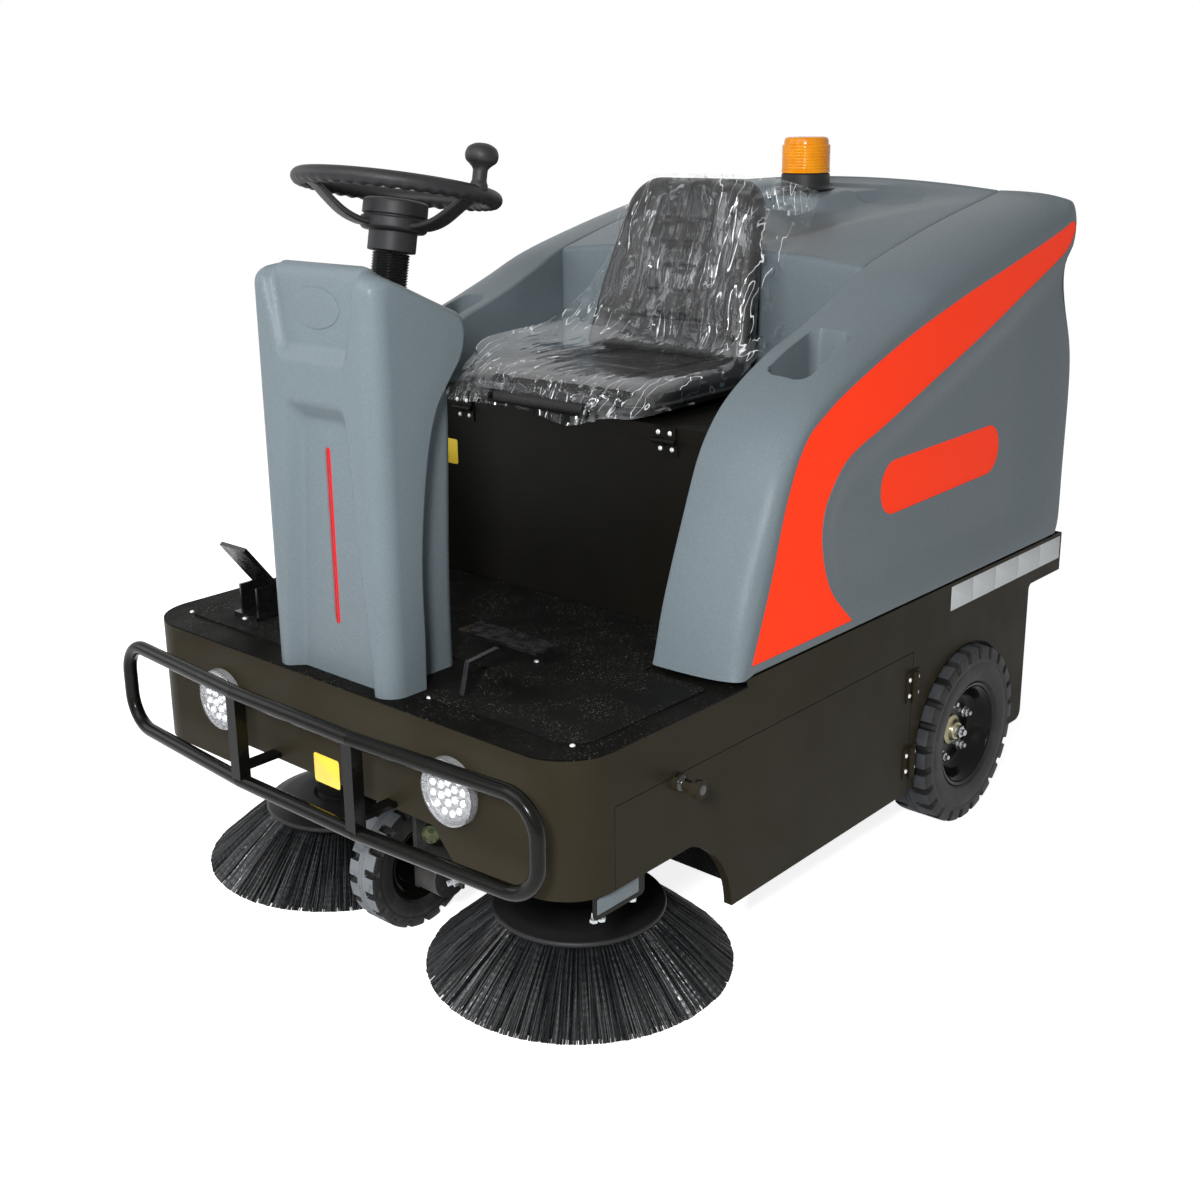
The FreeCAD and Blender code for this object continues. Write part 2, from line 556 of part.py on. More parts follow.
BRUSH_Y = "-side_brush_reach"
disc = tied("brush_disc_left", turned("BrushDisc", [
    ("spindle_radius + running_gap", "0"), ("side_disc_radius", "0"),
    ("side_disc_radius", "side_disc_thick - 8"), ("side_disc_radius - 30", "side_disc_thick"),
    ("spindle_radius + running_gap", "side_disc_thick")],
    "side_brush_x", BRUSH_Y, "side_disc_z - side_disc_thick", about="Z"))
tied("brush_disc_right", mirror("BrushDiscRight", disc))
bristles = tied("brush_bristles_left", turned("BrushBristles", [
    ("side_brush_radius", "brush_lift"), ("side_disc_radius - 6", "side_disc_z - side_disc_thick"),
    ("side_disc_radius - 80", "side_disc_z - side_disc_thick"), ("side_brush_radius - 98", "brush_lift")],
    "side_brush_x", BRUSH_Y, "0", about="Z"))
tied("brush_bristles_right", mirror("BrushBristlesRight", bristles))


def brush_motor_shape():
    """The side brushes' motors, each hung from the deck on a bent bracket, with its spindle below."""
    x, y, low = c.side_brush_x, -c.side_brush_reach, c.side_disc_z + 8
    motor = bar(c.brush_motor_radius, V(x, y, low), V(x, y, low + c.brush_motor_height))
    spindle = bar(c.spindle_radius, V(x, y, c.side_disc_z - c.side_disc_thick + 2), V(x, y, low))
    top = low + c.brush_motor_height
    shelf = solid_box(x - 60, x + 60, y - 55, y + 55, top, top + 6)
    hanger = solid_box(x - 60, x - 54, y - 40, y + 40, top, DECK_LOW)
    return both_sides(motor.multiFuse([spindle, shelf, hanger]).removeSplitter())


tied("brush_motors", shaped("BrushMotors", brush_motor_shape()))

# Main brush, its tunnel and the hopper

ROLLER_Z = "roller_radius + brush_lift"
core = fuse("RollerCoreBody",
            rod("RollerCore", "X", "roller_core", "2 * roller_half", "-roller_half", "roller_y", ROLLER_Z),
            rod("RollerShaft", "X", "roller_shaft", "2 * roller_half + 30", "-roller_half - 15", "roller_y",
                ROLLER_Z))
tied("roller_core", core)
tied("roller_bristles", cut("RollerBristles",
     rod("RollerBrushOut", "X", "roller_radius", "2 * roller_half - 10", "-roller_half + 5", "roller_y",
         ROLLER_Z),
     rod("RollerBrushIn", "X", "roller_core", "2 * roller_half + 10", "-roller_half - 5", "roller_y",
         ROLLER_Z)))


def tunnel_shape():
    """The roller's arched cover between two end plates, hung from the chassis."""
    axis_z = c.roller_radius + c.brush_lift
    inner = c.roller_radius + c.tunnel_gap
    outer = inner + c.skin
    length = 2 * (c.roller_half + 8)
    start = V(-length / 2, c.roller_y, axis_z)
    arch = Part.makeCylinder(outer, length, start, X_AXIS).cut(Part.makeCylinder(inner, length, start, X_AXIS))
    keep = solid_box(-length, length, c.roller_y - outer - 1, c.roller_y + outer + 1, axis_z,
                     axis_z + outer + 1)
    pieces = []
    for side in (-1, 1):
        x = sorted((side * length / 2, side * (length / 2 + c.end_plate)))
        end = solid_box(x[0], x[1], c.roller_y - outer, c.roller_y + outer, 34, axis_z + outer)
        bore = bar(c.roller_shaft + c.running_gap, V(x[0] - 1, c.roller_y, axis_z),
                   V(x[1] + 1, c.roller_y, axis_z))
        pieces.append(end.cut(bore))
        hung = solid_box(side * c.frame_x - 3, side * c.frame_x + 3, c.roller_y - 60, c.roller_y + 60,
                         axis_z + outer - 8, DECK_LOW - c.frame_height)
        pieces.append(hung.cut(Part.makeCylinder(inner + 1, length, start, X_AXIS)))
    return arch.common(keep).multiFuse(pieces).removeSplitter()


def flap_shape():
    """Rubber flaps ahead of and behind the roller, between the tunnel's end plates."""
    outer = c.roller_radius + c.tunnel_gap + c.skin
    half = c.roller_half + 8
    flaps = [solid_box(-half, half, c.roller_y - outer - c.flap_thick, c.roller_y - outer, c.flap_lift,
                       c.roller_radius + 10),
             solid_box(-half, half, c.roller_y + outer, c.roller_y + outer + c.flap_thick, c.flap_lift, 90)]
    return Part.makeCompound(flaps)


def hopper_shape():
    """The dust hopper: a bin open towards the roller, with runner lips and a pull handle at the rear."""
    half, wall, rear = c.hopper_half, c.hopper_wall, c.panel_rear - 6
    bin_box = solid_box(-half, half, c.hopper_front, rear, c.hopper_low, c.hopper_high)
    inside = solid_box(-half + wall, half - wall, c.hopper_front + wall, rear - wall,
                       c.hopper_low + wall, c.hopper_high - wall)
    mouth = solid_box(-half + 30, half - 30, c.hopper_front - 1, c.hopper_front + wall + 1,
                      c.hopper_low + 90, c.hopper_high - 30)
    pieces = []
    for side in (-1, 1):
        lip = sorted((side * half, side * (half + 20)))
        pieces.append(solid_box(lip[0], lip[1], c.hopper_front + 10, rear, c.hopper_high - 18,
                                c.hopper_high - 13))
        x = side * 120
        pieces.append(solid_box(x - 6, x + 6, rear, rear + 34, c.hopper_high - 76, c.hopper_high - 60))
    pieces.append(bar(9, V(-135, rear + 30, c.hopper_high - 68), V(135, rear + 30, c.hopper_high - 68)))
    return bin_box.cut(inside).cut(mouth).multiFuse(pieces).removeSplitter()


tied("brush_tunnel", shaped("Tunnel", tunnel_shape()))
tied("brush_flaps", shaped("Flaps", flap_shape()))
tied("hopper", shaped("Hopper", hopper_shape()))

# Moulded rear covers
# Outlines are (distance behind the arm's foot, height above the rail), front to rear along the top.

ARM_OUTER_TOP = [(4, 0), (16, 21), (70, 156), (107, 271), (152, 355), (210, 404), (297, 444), (466, 505),
                 (665, 558), (886, 610), (1047, 650), (1104, 669)]
ARM_OUTER_REAR = [(1104, 669), (1117, 653), (1111, 615), (1082, 582), (1075, 540), (1095, 482), (1128, 405),
                  (1139, 316), (1137, 152), (1136, 40), (1125, 0)]
ARM_INNER_TOP = [(-33, 0), (-26, 30), (-4, 110), (46, 242), (88, 339), (138, 401), (200, 444), (288, 486),
                 (380, 517), (476, 556), (576, 601), (737, 644), (882, 676), (1069, 711), (1095, 718)]
ARM_INNER_REAR = [(1095, 718), (1120, 706), (1114, 650), (1088, 600), (1084, 545), (1104, 484), (1137, 405),
                  (1148, 316), (1146, 152), (1145, 40), (1132, 0)]
ARM_STATIONS = (0, 0.33, 0.57, 0.76, 0.88, 0.95, 0.985, 1)
ROLL_POWER, REAR_ROUND = 2.5, 13


def inset(points, depth):
    """An open outline moved to its right-hand side by depth."""
    moved = []
    for i, (u, v) in enumerate(points):
        before, after = points[max(i - 1, 0)], points[min(i + 1, len(points) - 1)]
        run = math.hypot(after[0] - before[0], after[1] - before[1])
        moved.append((u + depth * (after[1] - before[1]) / run, v - depth * (after[0] - before[0]) / run))
    return moved


def cover_place(x, point, rise=0):
    return V(x, point[0] - c.arm_reach, point[1] + c.rail_top + rise)


def curve(points):
    line = Part.BSplineCurve()
    line.interpolate(points)
    return line.toShape()


def spread_evenly(points, count):
    """The same outline with points at even distances along it."""
    return [(p.x, p.y) for p in curve([V(u, v, 0) for u, v in points]).discretize(count)]


def between(inner, outer, shares):
    return [(a + (p - a) * k, b + (q - b) * k) for (a, b), (p, q), k in zip(inner, outer, shares)]


def arm_section(x, depth):
    """One side outline of an arm at x, pulled in by depth. The top rolls over towards the outer side."""
    across = (x - c.arm_inner_x) / (HALF - c.arm_inner_x)
    roll = 1 - (1 - across ** ROLL_POWER) ** (1 / ROLL_POWER)
    late = max(0, (x - HALF + REAR_ROUND) / REAR_ROUND)
    rear_roll = 1 - math.sqrt(1 - late * late)
    rear_shares = [roll, (roll + rear_roll) / 2] + [rear_roll] * (len(ARM_INNER_REAR) - 2)
    top = between(spread_evenly(ARM_INNER_TOP, 20), spread_evenly(ARM_OUTER_TOP, 20), [roll] * 20)
    rear = between(ARM_INNER_REAR, ARM_OUTER_REAR, rear_shares)
    foot = -5 if depth else 0
    top_line = [cover_place(x, p) for p in inset(top, depth)]
    rear_line = [cover_place(x, p) for p in inset(rear, depth)]
    rear_line[0] = top_line[-1]
    top_line[0].z = rear_line[-1].z = c.rail_top + foot
    foot_line = Part.LineSegment(rear_line[-1], top_line[0]).toShape()
    return Part.Wire([curve(top_line), curve(rear_line), foot_line])


def arm_shape():
    """An arm beside the seat: a hollow moulding, open below, with a cup recess in its top."""
    width, wall = HALF - c.arm_inner_x, c.cover_wall
    outer = Part.makeLoft([arm_section(c.arm_inner_x + k * width, 0) for k in ARM_STATIONS], True, True)
    inner_width = width - 2 * wall
    hollow = Part.makeLoft([arm_section(c.arm_inner_x + wall + k * inner_width, wall)
                            for k in (0, 0.45, 0.7, 0.9, 1)], True, True)

    def cup(grow, low):
        half_w, half_l = c.cup_width / 2 + grow, c.cup_length / 2 + grow
        corners = [(c.cup_x - half_w, c.cup_y - half_l), (c.cup_x + half_w, c.cup_y - half_l),
                   (c.cup_x + half_w, c.cup_y + half_l), (c.cup_x - half_w, c.cup_y + half_l)]
        return slab(corners, c.cup_corner + grow, at_z(low), V(0, 0, 300))
    lining = cup(6, c.cup_floor - 8).common(outer)
    return outer.cut(hollow).fuse(lining).cut(cup(0, c.cup_floor)).removeSplitter()


def hood_section(x, depth):
    """One side outline of the centre hood at x, crowned towards the middle, pulled in by depth."""
    crown = c.hood_crown * (1 - (x / c.arm_inner_x) ** 2)
    first = c.recess_wall + c.arm_reach
    top = [(first, 601)] + [p for p in ARM_INNER_TOP if p[0] > first + 1]
    foot = -5 if depth else 0
    top_line = [cover_place(x, p, crown) for p in inset(top, depth)]
    rear_line = [cover_place(x, p, crown * max(0, (p[1] - 500) / 218)) for p in inset(ARM_INNER_REAR, depth)]
    rear_line[0] = top_line[-1]
    top_line[0].y = c.recess_wall + depth
    rear_line[-1].z = c.rail_top + foot
    corner = V(x, c.recess_wall + depth, c.rail_top + foot)
    return Part.Wire([curve(top_line), curve(rear_line), Part.LineSegment(rear_line[-1], corner).toShape(),
                      Part.LineSegment(corner, top_line[0]).toShape()])


def hood_shape():
    """The crowned hood between the arms; its front wall is the back of the seat recess."""
    places = [-1, -0.5, 0, 0.5, 1]
    outer = Part.makeLoft([hood_section(k * c.arm_inner_x, 0) for k in places], True, False)
    inside = c.arm_inner_x - c.cover_wall
    hollow = Part.makeLoft([hood_section(k * inside, c.cover_wall) for k in places], True, False)
    boss = Part.makeCone(c.beacon_radius + 40, c.beacon_radius + 16, 40, V(0, c.beacon_y, c.beacon_base - 40))
    seat_of_beacon = bar(c.beacon_radius + 9, V(0, c.beacon_y, c.beacon_base),
                         V(0, c.beacon_y, c.beacon_base + 30))
    return outer.cut(hollow).fuse(boss.cut(hollow)).cut(seat_of_beacon).removeSplitter()


left_arm = tied("cover_arm_left", shaped("ArmCover", arm_shape()))
tied("cover_arm_right", mirror("ArmCoverRight", left_arm))
tied("cover_hood", shaped("HoodCover", hood_shape()))

# Steering tower

# Outlines are (distance behind the tower's front face, height above the deck).

TOWER_BROW = (0, 648)
TOWER_TOP = [(10, 674), (76, 655), (118, 635), (157, 617), (180, 602), (190, 586), (192, 566)]
TOWER_BACK = [(192, 566), (178, 528), (143, 484), (121, 449), (100, 384), (85, 289), (77, 191), (77, 88),
              (76, 0)]
SHOULDER_X, SHOULDER_HIGH, SHOULDER_LOW = 95, 676, 628


def tower_place(point):
    return V(0, point[0] - c.tower_reach, point[1] + c.deck_top)


def sunk(half, depth, wall):
    """Section of a field sunk into the tower's front, with sloping sides."""
    front = -c.tower_reach
    return [(-half, front - 2), (half, front - 2), (half - wall, front + depth),
            (-half + wall, front + depth)]


def tower_shape():
    """A moulded tower: a wide front shell over a narrower rear column, hollow and open below."""
    low, front = c.deck_top, -c.tower_reach
    foot_front, foot_rear = tower_place((0, 0)), tower_place(TOWER_BACK[-1])
    shell_edges = [Part.LineSegment(foot_front, tower_place(TOWER_BROW)).toShape(),
                   Part.LineSegment(tower_place(TOWER_BROW), tower_place(TOWER_TOP[0])).toShape(),
                   curve([tower_place(p) for p in TOWER_TOP]), curve([tower_place(p) for p in TOWER_BACK]),
                   Part.LineSegment(foot_rear, foot_front).toShape()]
    shell = Part.Face(Part.Wire(shell_edges)).extrude(V(2 * c.tower_half, 0, 0))
    shell.translate(V(-c.tower_half, 0, 0))
    shell = shell.makeFillet(c.tower_round, [e for e in shell.Edges if is_front_upright(e, front)])
    half, wall, rear = c.column_half, c.tower_wall, -c.column_reach
    column = slab([(-half, front + 40), (half, front + 40), (half, rear), (-half, rear)], [0, 0, 22, 22],
                  at_z(low), V(0, 0, c.column_top - low))
    slope_low = c.channel_top - 40
    full = sunk(c.channel_top_half + 3, c.channel_depth, c.channel_wall)
    channel = wedge(sunk(c.channel_foot_half, c.channel_depth, c.channel_wall), low - 1, full, slope_low)
    channel_end = wedge(full, slope_low, sunk(c.channel_top_half, -1, 12), c.channel_top)
    badge = wedge(sunk(c.badge_half, c.badge_depth, c.badge_wall), c.badge_foot,
                  sunk(c.badge_half + 36, c.badge_depth, c.badge_wall), c.badge_foot + 155)
    tower = shell.fuse(column).cut(channel).cut(channel_end).cut(badge)
    for side in (-1, 1):
        edge_x = side * (c.tower_half + 4)
        shoulder = slab([(side * SHOULDER_X, low + 700), (side * SHOULDER_X, low + SHOULDER_HIGH),
                         (edge_x, low + SHOULDER_LOW), (edge_x, low + 700)], 0, at_y(front - 5), V(0, 260, 0))
        tower = tower.cut(shoulder)
    hollow = solid_box(-half + wall, half - wall, front + c.channel_depth + wall, rear - wall, low - 1,
                       c.column_top - wall - 4)
    tilt = math.radians(c.wheel_tilt)
    axis = V(0, math.sin(tilt), math.cos(tilt))
    centre = V(0, -c.wheel_reach, c.wheel_z)
    mouth = bar(c.boot_radius + 0.3, centre - axis * 400, centre)
    return tower.cut(hollow).cut(mouth)


def is_front_upright(edge, front):
    box_of = edge.BoundBox
    return box_of.YMax < front + 0.01 and box_of.ZLength > 300


def wedge(low_points, low_z, high_points, high_z):
    """A straight-sided block between two flat outlines."""
    wires = [Part.makePolygon([V(x, y, z) for x, y in points + [points[0]]])
             for points, z in ((low_points, low_z), (high_points, high_z))]
    return Part.makeLoft(wires, True, True)


TILT = math.radians(c.wheel_tilt)
WHEEL_AXIS = V(0, math.sin(TILT), math.cos(TILT))
WHEEL_CENTRE = V(0, -c.wheel_reach, c.wheel_z)


def on_wheel(across, back, up):
    """A point in the steering wheel's own frame."""
    return WHEEL_CENTRE + X_AXIS * across + V(0, math.cos(TILT), -math.sin(TILT)) * back + WHEEL_AXIS * up


def steering_wheel_shape():
    """Rim, three spokes that drop to the hub, the collar below it and the spinner knob on the rim."""
    rim_ring = Part.makeTorus(c.wheel_radius, c.grip_radius, WHEEL_CENTRE, WHEEL_AXIS)
    pieces = [bar(c.hub_disc, on_wheel(0, 0, -c.hub_bottom), on_wheel(0, 0, -c.hub_top)),
              bar(c.collar_radius, on_wheel(0, 0, -c.collar_bottom), on_wheel(0, 0, -c.hub_bottom))]
    for angle in (0, 120, 240):
        a = math.radians(angle + 10)
        side = V(-math.sin(a), math.cos(a), 0) * 22
        profile = [(30, -c.hub_bottom), (70, -c.hub_bottom + 2), (c.wheel_radius, -8), (c.wheel_radius, 2),
                   (c.wheel_radius - 14, 0), (60, -c.hub_bottom + 22), (30, -c.hub_bottom + 22)]
        corners = [on_wheel(math.cos(a) * r - side.x, math.sin(a) * r - side.y, z) for r, z in profile]
        face = Part.Face(Part.makePolygon(corners + [corners[0]]))
        pieces.append(face.extrude(on_wheel(2 * side.x, 2 * side.y, 0) - WHEEL_CENTRE))
    a = math.radians(c.knob_turn)
    across, back = c.wheel_radius * math.cos(a), c.wheel_radius * math.sin(a)
    pieces.append(bar(c.spinner_stem, on_wheel(across, back, 0), on_wheel(across, back, c.spinner_height)))
    ball = Part.makeSphere(c.spinner_radius)
    flatten = FreeCAD.Matrix()
    flatten.scale(1, 1, 0.72)
    ball = ball.transformGeometry(flatten)
    ball.rotate(V(), X_AXIS, -c.wheel_tilt)
    ball.translate(on_wheel(across, back, c.spinner_height))
    pieces.append(ball)
    return rim_ring.multiFuse(pieces)


tied("steering_tower", shaped("Tower", tower_shape()))
tied("steering_boot", shaped("Boot", bar(c.boot_radius, on_wheel(0, 0, -c.boot_bottom),
                                         on_wheel(0, 0, -c.collar_bottom - 1))))
tied("steering_wheel", shaped("SteeringWheel", steering_wheel_shape()))

# Seat box, lid and seat


def seat_hinge_leaves(on_lid):
    """The leaves of the two hinges at the front edge of the lid; the box's leaves carry the pins."""
    pin_y, pin_z, pin, half = -c.seat_hinge_reach, c.box_top + c.lid_gap, c.hinge_pin - 1, c.seat_hinge_half
    pieces = []
    for side in (-1, 1):
        low, middle, high = (side * c.seat_hinge_x + step for step in (-half, 0, half))
        if on_lid:
            leaf = solid_box(low, high, pin_y + 1, -c.box_reach - 4, pin_z + pin + 3,
                             pin_z + c.lid_thick - 2)
            arm = solid_box(middle + 0.3, high, pin_y + 1, -c.box_reach - 4, pin_z, pin_z + pin + 4)
            knuckle = bar(pin + 2, V(middle + 0.3, pin_y, pin_z), V(high, pin_y, pin_z)).fuse(arm)
            bore = bar(pin + c.running_gap, V(low - 1, pin_y, pin_z), V(high + 1, pin_y, pin_z))
            pieces += [leaf, knuckle.cut(bore)]
        else:
            leaf = solid_box(low, high, -c.box_reach - 3, -c.box_reach, pin_z - c.lid_thick,
                             pin_z - pin - 3)
            arm = solid_box(low, middle - 0.3, pin_y, -c.box_reach, pin_z - pin - 5, pin_z - pin)
            knuckle = bar(pin + 2, V(low, pin_y, pin_z), V(middle - 0.3, pin_y, pin_z))
            pieces += [leaf, arm, knuckle, bar(pin, V(low, pin_y, pin_z), V(high, pin_y, pin_z))]
    return Part.makeCompound([pieces[0].multiFuse(pieces[1:])])


tied("seat_box", fuse("SeatBox", cut("SeatBoxShell",
     box("SeatBoxOut", "-box_half", "box_half", "-box_reach", "recess_wall - 2", "deck_top", "box_top"),
     box("SeatBoxIn", "-box_half + skin", "box_half - skin", "-box_reach + skin", "recess_wall - 2 - skin",
         "deck_top - 1", "box_top + 1")), shaped("BoxHingeLeaves", seat_hinge_leaves(False))))
tied("battery_pack", box("BatteryPack", "-battery_half", "battery_half", "-battery_front", "battery_rear",
                         "deck_top", "deck_top + battery_height"))
tied("seat_lid", fuse("SeatLid", box("SeatLidPlate", "-box_half", "box_half", "-box_reach - 4",
                                     "recess_wall - 5", "box_top + lid_gap", "box_top + lid_gap + lid_thick"),
                      shaped("LidHingeLeaves", seat_hinge_leaves(True))))
LID_TOP = c.box_top + c.lid_gap + c.lid_thick


def seat_pan_shape():
    """The seat's steel pan on two runners, with the ribbed grab tube ahead of the cushion."""
    pan = slab([(-190, -150), (190, -150), (190, c.cushion_rear), (-190, c.cushion_rear)], 40,
               at_z(c.cushion_low - 5), V(0, 0, 4.7))
    pieces = []
    for side in (-1, 1):
        pieces.append(solid_box(side * 150 - 15, side * 150 + 15, -150, 180, LID_TOP, c.cushion_low - 5))
        x = side * (c.grab_half - 12)
        pieces.append(solid_box(x - 6, x + 6, -c.cushion_reach - 12, -c.cushion_reach + 85,
                                c.cushion_low - 5, c.cushion_low - 0.3))
    tube_y, tube_z = -c.cushion_reach - 18, c.cushion_low + 6
    pieces.append(bar(c.grab_radius, V(-c.grab_half, tube_y, tube_z), V(c.grab_half, tube_y, tube_z)))
    return pan.multiFuse(pieces).removeSplitter()


def cushion_shape():
    """The seat cushion, with soft upper and lower edges."""
    cushion = slab([(-c.cushion_half, -c.cushion_reach), (c.cushion_half, -c.cushion_reach),
                    (c.cushion_half - 20, c.cushion_rear - 20), (-c.cushion_half + 20, c.cushion_rear - 20)],
                   [70, 70, 50, 50], at_z(c.cushion_low), V(0, 0, c.cushion_high - c.cushion_low))
    upper = [e for e in cushion.Edges if e.BoundBox.ZMin > c.cushion_high - 0.1]
    cushion = cushion.makeFillet(c.cushion_round, upper)
    lower = [e for e in cushion.Edges if e.BoundBox.ZMax < c.cushion_low + 0.1]
    return cushion.makeFillet(c.cushion_round / 2, lower)


def backrest_shape():
    """The backrest: it leans back, narrows upwards, and its upper corners are round."""
    low = c.cushion_high + 0.3

    def section(z, y, half, thick):
        points = [(-half, y - thick), (half, y - thick), (half, y), (-half, y)]
        return rounded_wire(points, [20, 20, 20, 20], at_z(z))
    leaning = Part.makeLoft([section(low, c.back_rise_y, c.back_foot_half, c.back_thick + 14),
                             section(c.back_top + 2, c.back_top_y, c.back_top_half, c.back_thick)], True, True)
    outline = slab([(-c.back_foot_half - 2, low - 1), (c.back_foot_half + 2, low - 1),
                    (c.back_top_half + 2, c.back_top), (-c.back_top_half - 2, c.back_top)],
                   [0, 0, c.back_corner, c.back_corner], at_y(0), V(0, 500, 0))
    return leaning.common(outline)


tied("seat_pan", shaped("SeatPan", seat_pan_shape()))
tied("seat_cushion", shaped("Cushion", cushion_shape()))
tied("seat_backrest", shaped("Backrest", backrest_shape()))

# Warning beacon

tied("beacon_base", turned("BeaconBase", [("0", "0"), ("beacon_radius + 8", "0"), ("beacon_radius + 8", "4"),
                                          ("beacon_radius", "4"), ("beacon_radius - 2", "beacon_foot"),
                                          ("0", "beacon_foot")], "0", "beacon_y", "beacon_base", about="Z"))
tied("beacon_lens", turned("BeaconLens", [("0", "0"), ("beacon_radius - 3", "0"), ("beacon_radius - 5", "68"),
                                          ("beacon_radius - 14", "beacon_top - beacon_base - beacon_foot"),
                                          ("0", "beacon_top - beacon_base - beacon_foot")],
                           "0", "beacon_y", "beacon_base + beacon_foot", about="Z"))

# Pedals, both fixed at rest: small controls


def brake_pedal_shape():
    """The driver's left pedal: a plate on a thin bent strap."""
    floor, y = c.deck_top + c.mat_thick, -c.tower_reach
    plate_low = floor + 61
    plate = solid_box(120, 300, y + 177, y + 232, plate_low, plate_low + c.pedal_thick)
    strap = [(y + 89, floor), (y + 101, floor), (y + 111, plate_low - 16), (y + 217, plate_low - 6),
             (y + 217, plate_low + 2), (y + 103, plate_low - 8)]
    return plate.fuse(slab(strap, 0, at_x(214), V(10, 0, 0)))


def drive_pedal_shape():
    """The driver's right pedal: a ribbed plate leaning on a bracket."""
    floor, y = c.deck_top + c.mat_thick, -c.tower_reach
    bracket = solid_box(-400, -330, y + 97, y + 177, floor, floor + 8)
    ears = [solid_box(x, x + 5, y + 107, y + 162, floor, floor + 60) for x in (-392, -343)]
    plate = solid_box(-402, -328, 0, 150, 0, 8)
    plate.rotate(V(0, 0, 0), X_AXIS, 128)
    plate.translate(V(0, y + 177, floor + 26))
    return bracket.multiFuse(ears + [plate])


tied("brake_pedal", shaped("BrakePedal", brake_pedal_shape()))
tied("drive_pedal", shaped("DrivePedal", drive_pedal_shape()))

doc.recompute()
for item in doc.Objects:
    if "Invalid" in item.State or "Error" in item.State:
        raise RuntimeError("%s could not be built: %s" % (item.Name, item.State))
for item in SUBPARTS:
    if item.Shape.isNull() or not item.Shape.isValid():
        raise RuntimeError("%s has no valid shape" % item.Label)

os.makedirs("parts", exist_ok=True)
for item in SUBPARTS:
    item.Shape.exportStep(os.path.join("parts", item.Label + ".step"))
    size_of = item.Shape.BoundBox
    print("%-22s solids %d  x %7.1f %7.1f  y %7.1f %7.1f  z %7.1f %7.1f" % (
        item.Label, len(item.Shape.Solids), size_of.XMin, size_of.XMax, size_of.YMin, size_of.YMax,
        size_of.ZMin, size_of.ZMax))
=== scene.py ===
# %% [markdown]
# A compact ride-on road sweeper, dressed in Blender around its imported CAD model.
# The CAD gives every metal and plastic part its place and its joints; this file gives each one the surface,
# the small fittings and the soft goods that the real machine has. Blender works in metres here, +Z is up,
# the front of the machine looks along -Y and the driver's left is +X.

import math
import random

import bmesh
import bpy
from mathutils import Matrix, Vector, noise
from mathutils.bvhtree import BVHTree
from mathutils.geometry import delaunay_2d_cdt


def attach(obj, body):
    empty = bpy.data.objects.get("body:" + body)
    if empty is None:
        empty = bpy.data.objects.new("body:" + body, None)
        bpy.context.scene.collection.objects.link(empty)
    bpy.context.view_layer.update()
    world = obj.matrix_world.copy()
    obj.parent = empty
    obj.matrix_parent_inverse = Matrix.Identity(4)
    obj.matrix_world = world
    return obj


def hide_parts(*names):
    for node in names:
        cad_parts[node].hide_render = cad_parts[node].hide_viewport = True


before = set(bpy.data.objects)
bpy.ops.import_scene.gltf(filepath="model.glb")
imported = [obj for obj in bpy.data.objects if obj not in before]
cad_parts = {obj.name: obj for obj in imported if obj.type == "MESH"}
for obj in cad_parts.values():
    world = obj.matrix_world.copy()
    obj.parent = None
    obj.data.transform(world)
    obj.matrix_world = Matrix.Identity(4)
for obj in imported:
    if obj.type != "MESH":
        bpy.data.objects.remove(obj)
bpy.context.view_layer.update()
MM = 0.001

# %% [markdown]
# The camera stands where the photographer stood. Its place and turn come from the straight edges of the
# deck and the side panels, so it is written as a place, two angles and a small roll. A lens shift could be
# avoided by turning the camera more, but then the upright edges would lean the wrong way.

# %% Camera
EYE = Vector((1.858, -2.169, 1.392))
HEADING, DOWN, ROLL = math.radians(41.855), math.radians(16.129), math.radians(-0.71)


def put_in_scene(name, data):
    """Makes an object of some data and links it to the scene."""
    thing = bpy.data.objects.new(name, data)
    bpy.context.scene.collection.objects.link(thing)
    return thing


def camera_turn(heading, down, roll):
    """The turn of a camera that looks along a heading, tips down and rolls."""
    back = Vector((math.sin(heading) * math.cos(down), -math.cos(heading) * math.cos(down), math.sin(down)))
    right = Vector((math.cos(heading), math.sin(heading), 0))
    up = back.cross(right)
    side = math.cos(roll) * right + math.sin(roll) * up
    rise = math.cos(roll) * up - math.sin(roll) * right
    return Matrix((side, rise, back)).transposed().to_4x4()


lens_data = bpy.data.cameras.new("viewpoint")
lens_data.lens = 44.94
lens_data.sensor_width = 36
lens_data.shift_x, lens_data.shift_y = 0.009, -0.043
viewpoint = put_in_scene("viewpoint", lens_data)
viewpoint.matrix_world = Matrix.Translation(EYE) @ camera_turn(HEADING, DOWN, ROLL)
bpy.context.scene.camera = viewpoint
print("camera is", round(EYE.length, 2), "m from the middle of the floor")

# %% [markdown]
# A finish is a Principled shader plus a few noise textures. Values that are the same everywhere are set on
# the shader itself; only what really varies over the surface, such as mottling, dust and orange peel, is
# linked. Object coordinates are used, because the parts keep their own coordinates when they move, and no
# part here needs an unwrapped image.

# %% Finish helpers
SHADER_SOCKETS = {"metal": "Metallic", "rough": "Roughness", "coat": "Coat Weight", "coat_rough": "Coat Roughness",
                  "specular": "Specular IOR Level", "clear": "Transmission Weight", "ior": "IOR", "alpha": "Alpha",
                  "glow": "Emission Strength"}
MIDDLE_NOISE = (0.3, 0.7)  # most values of a noise lie in this range


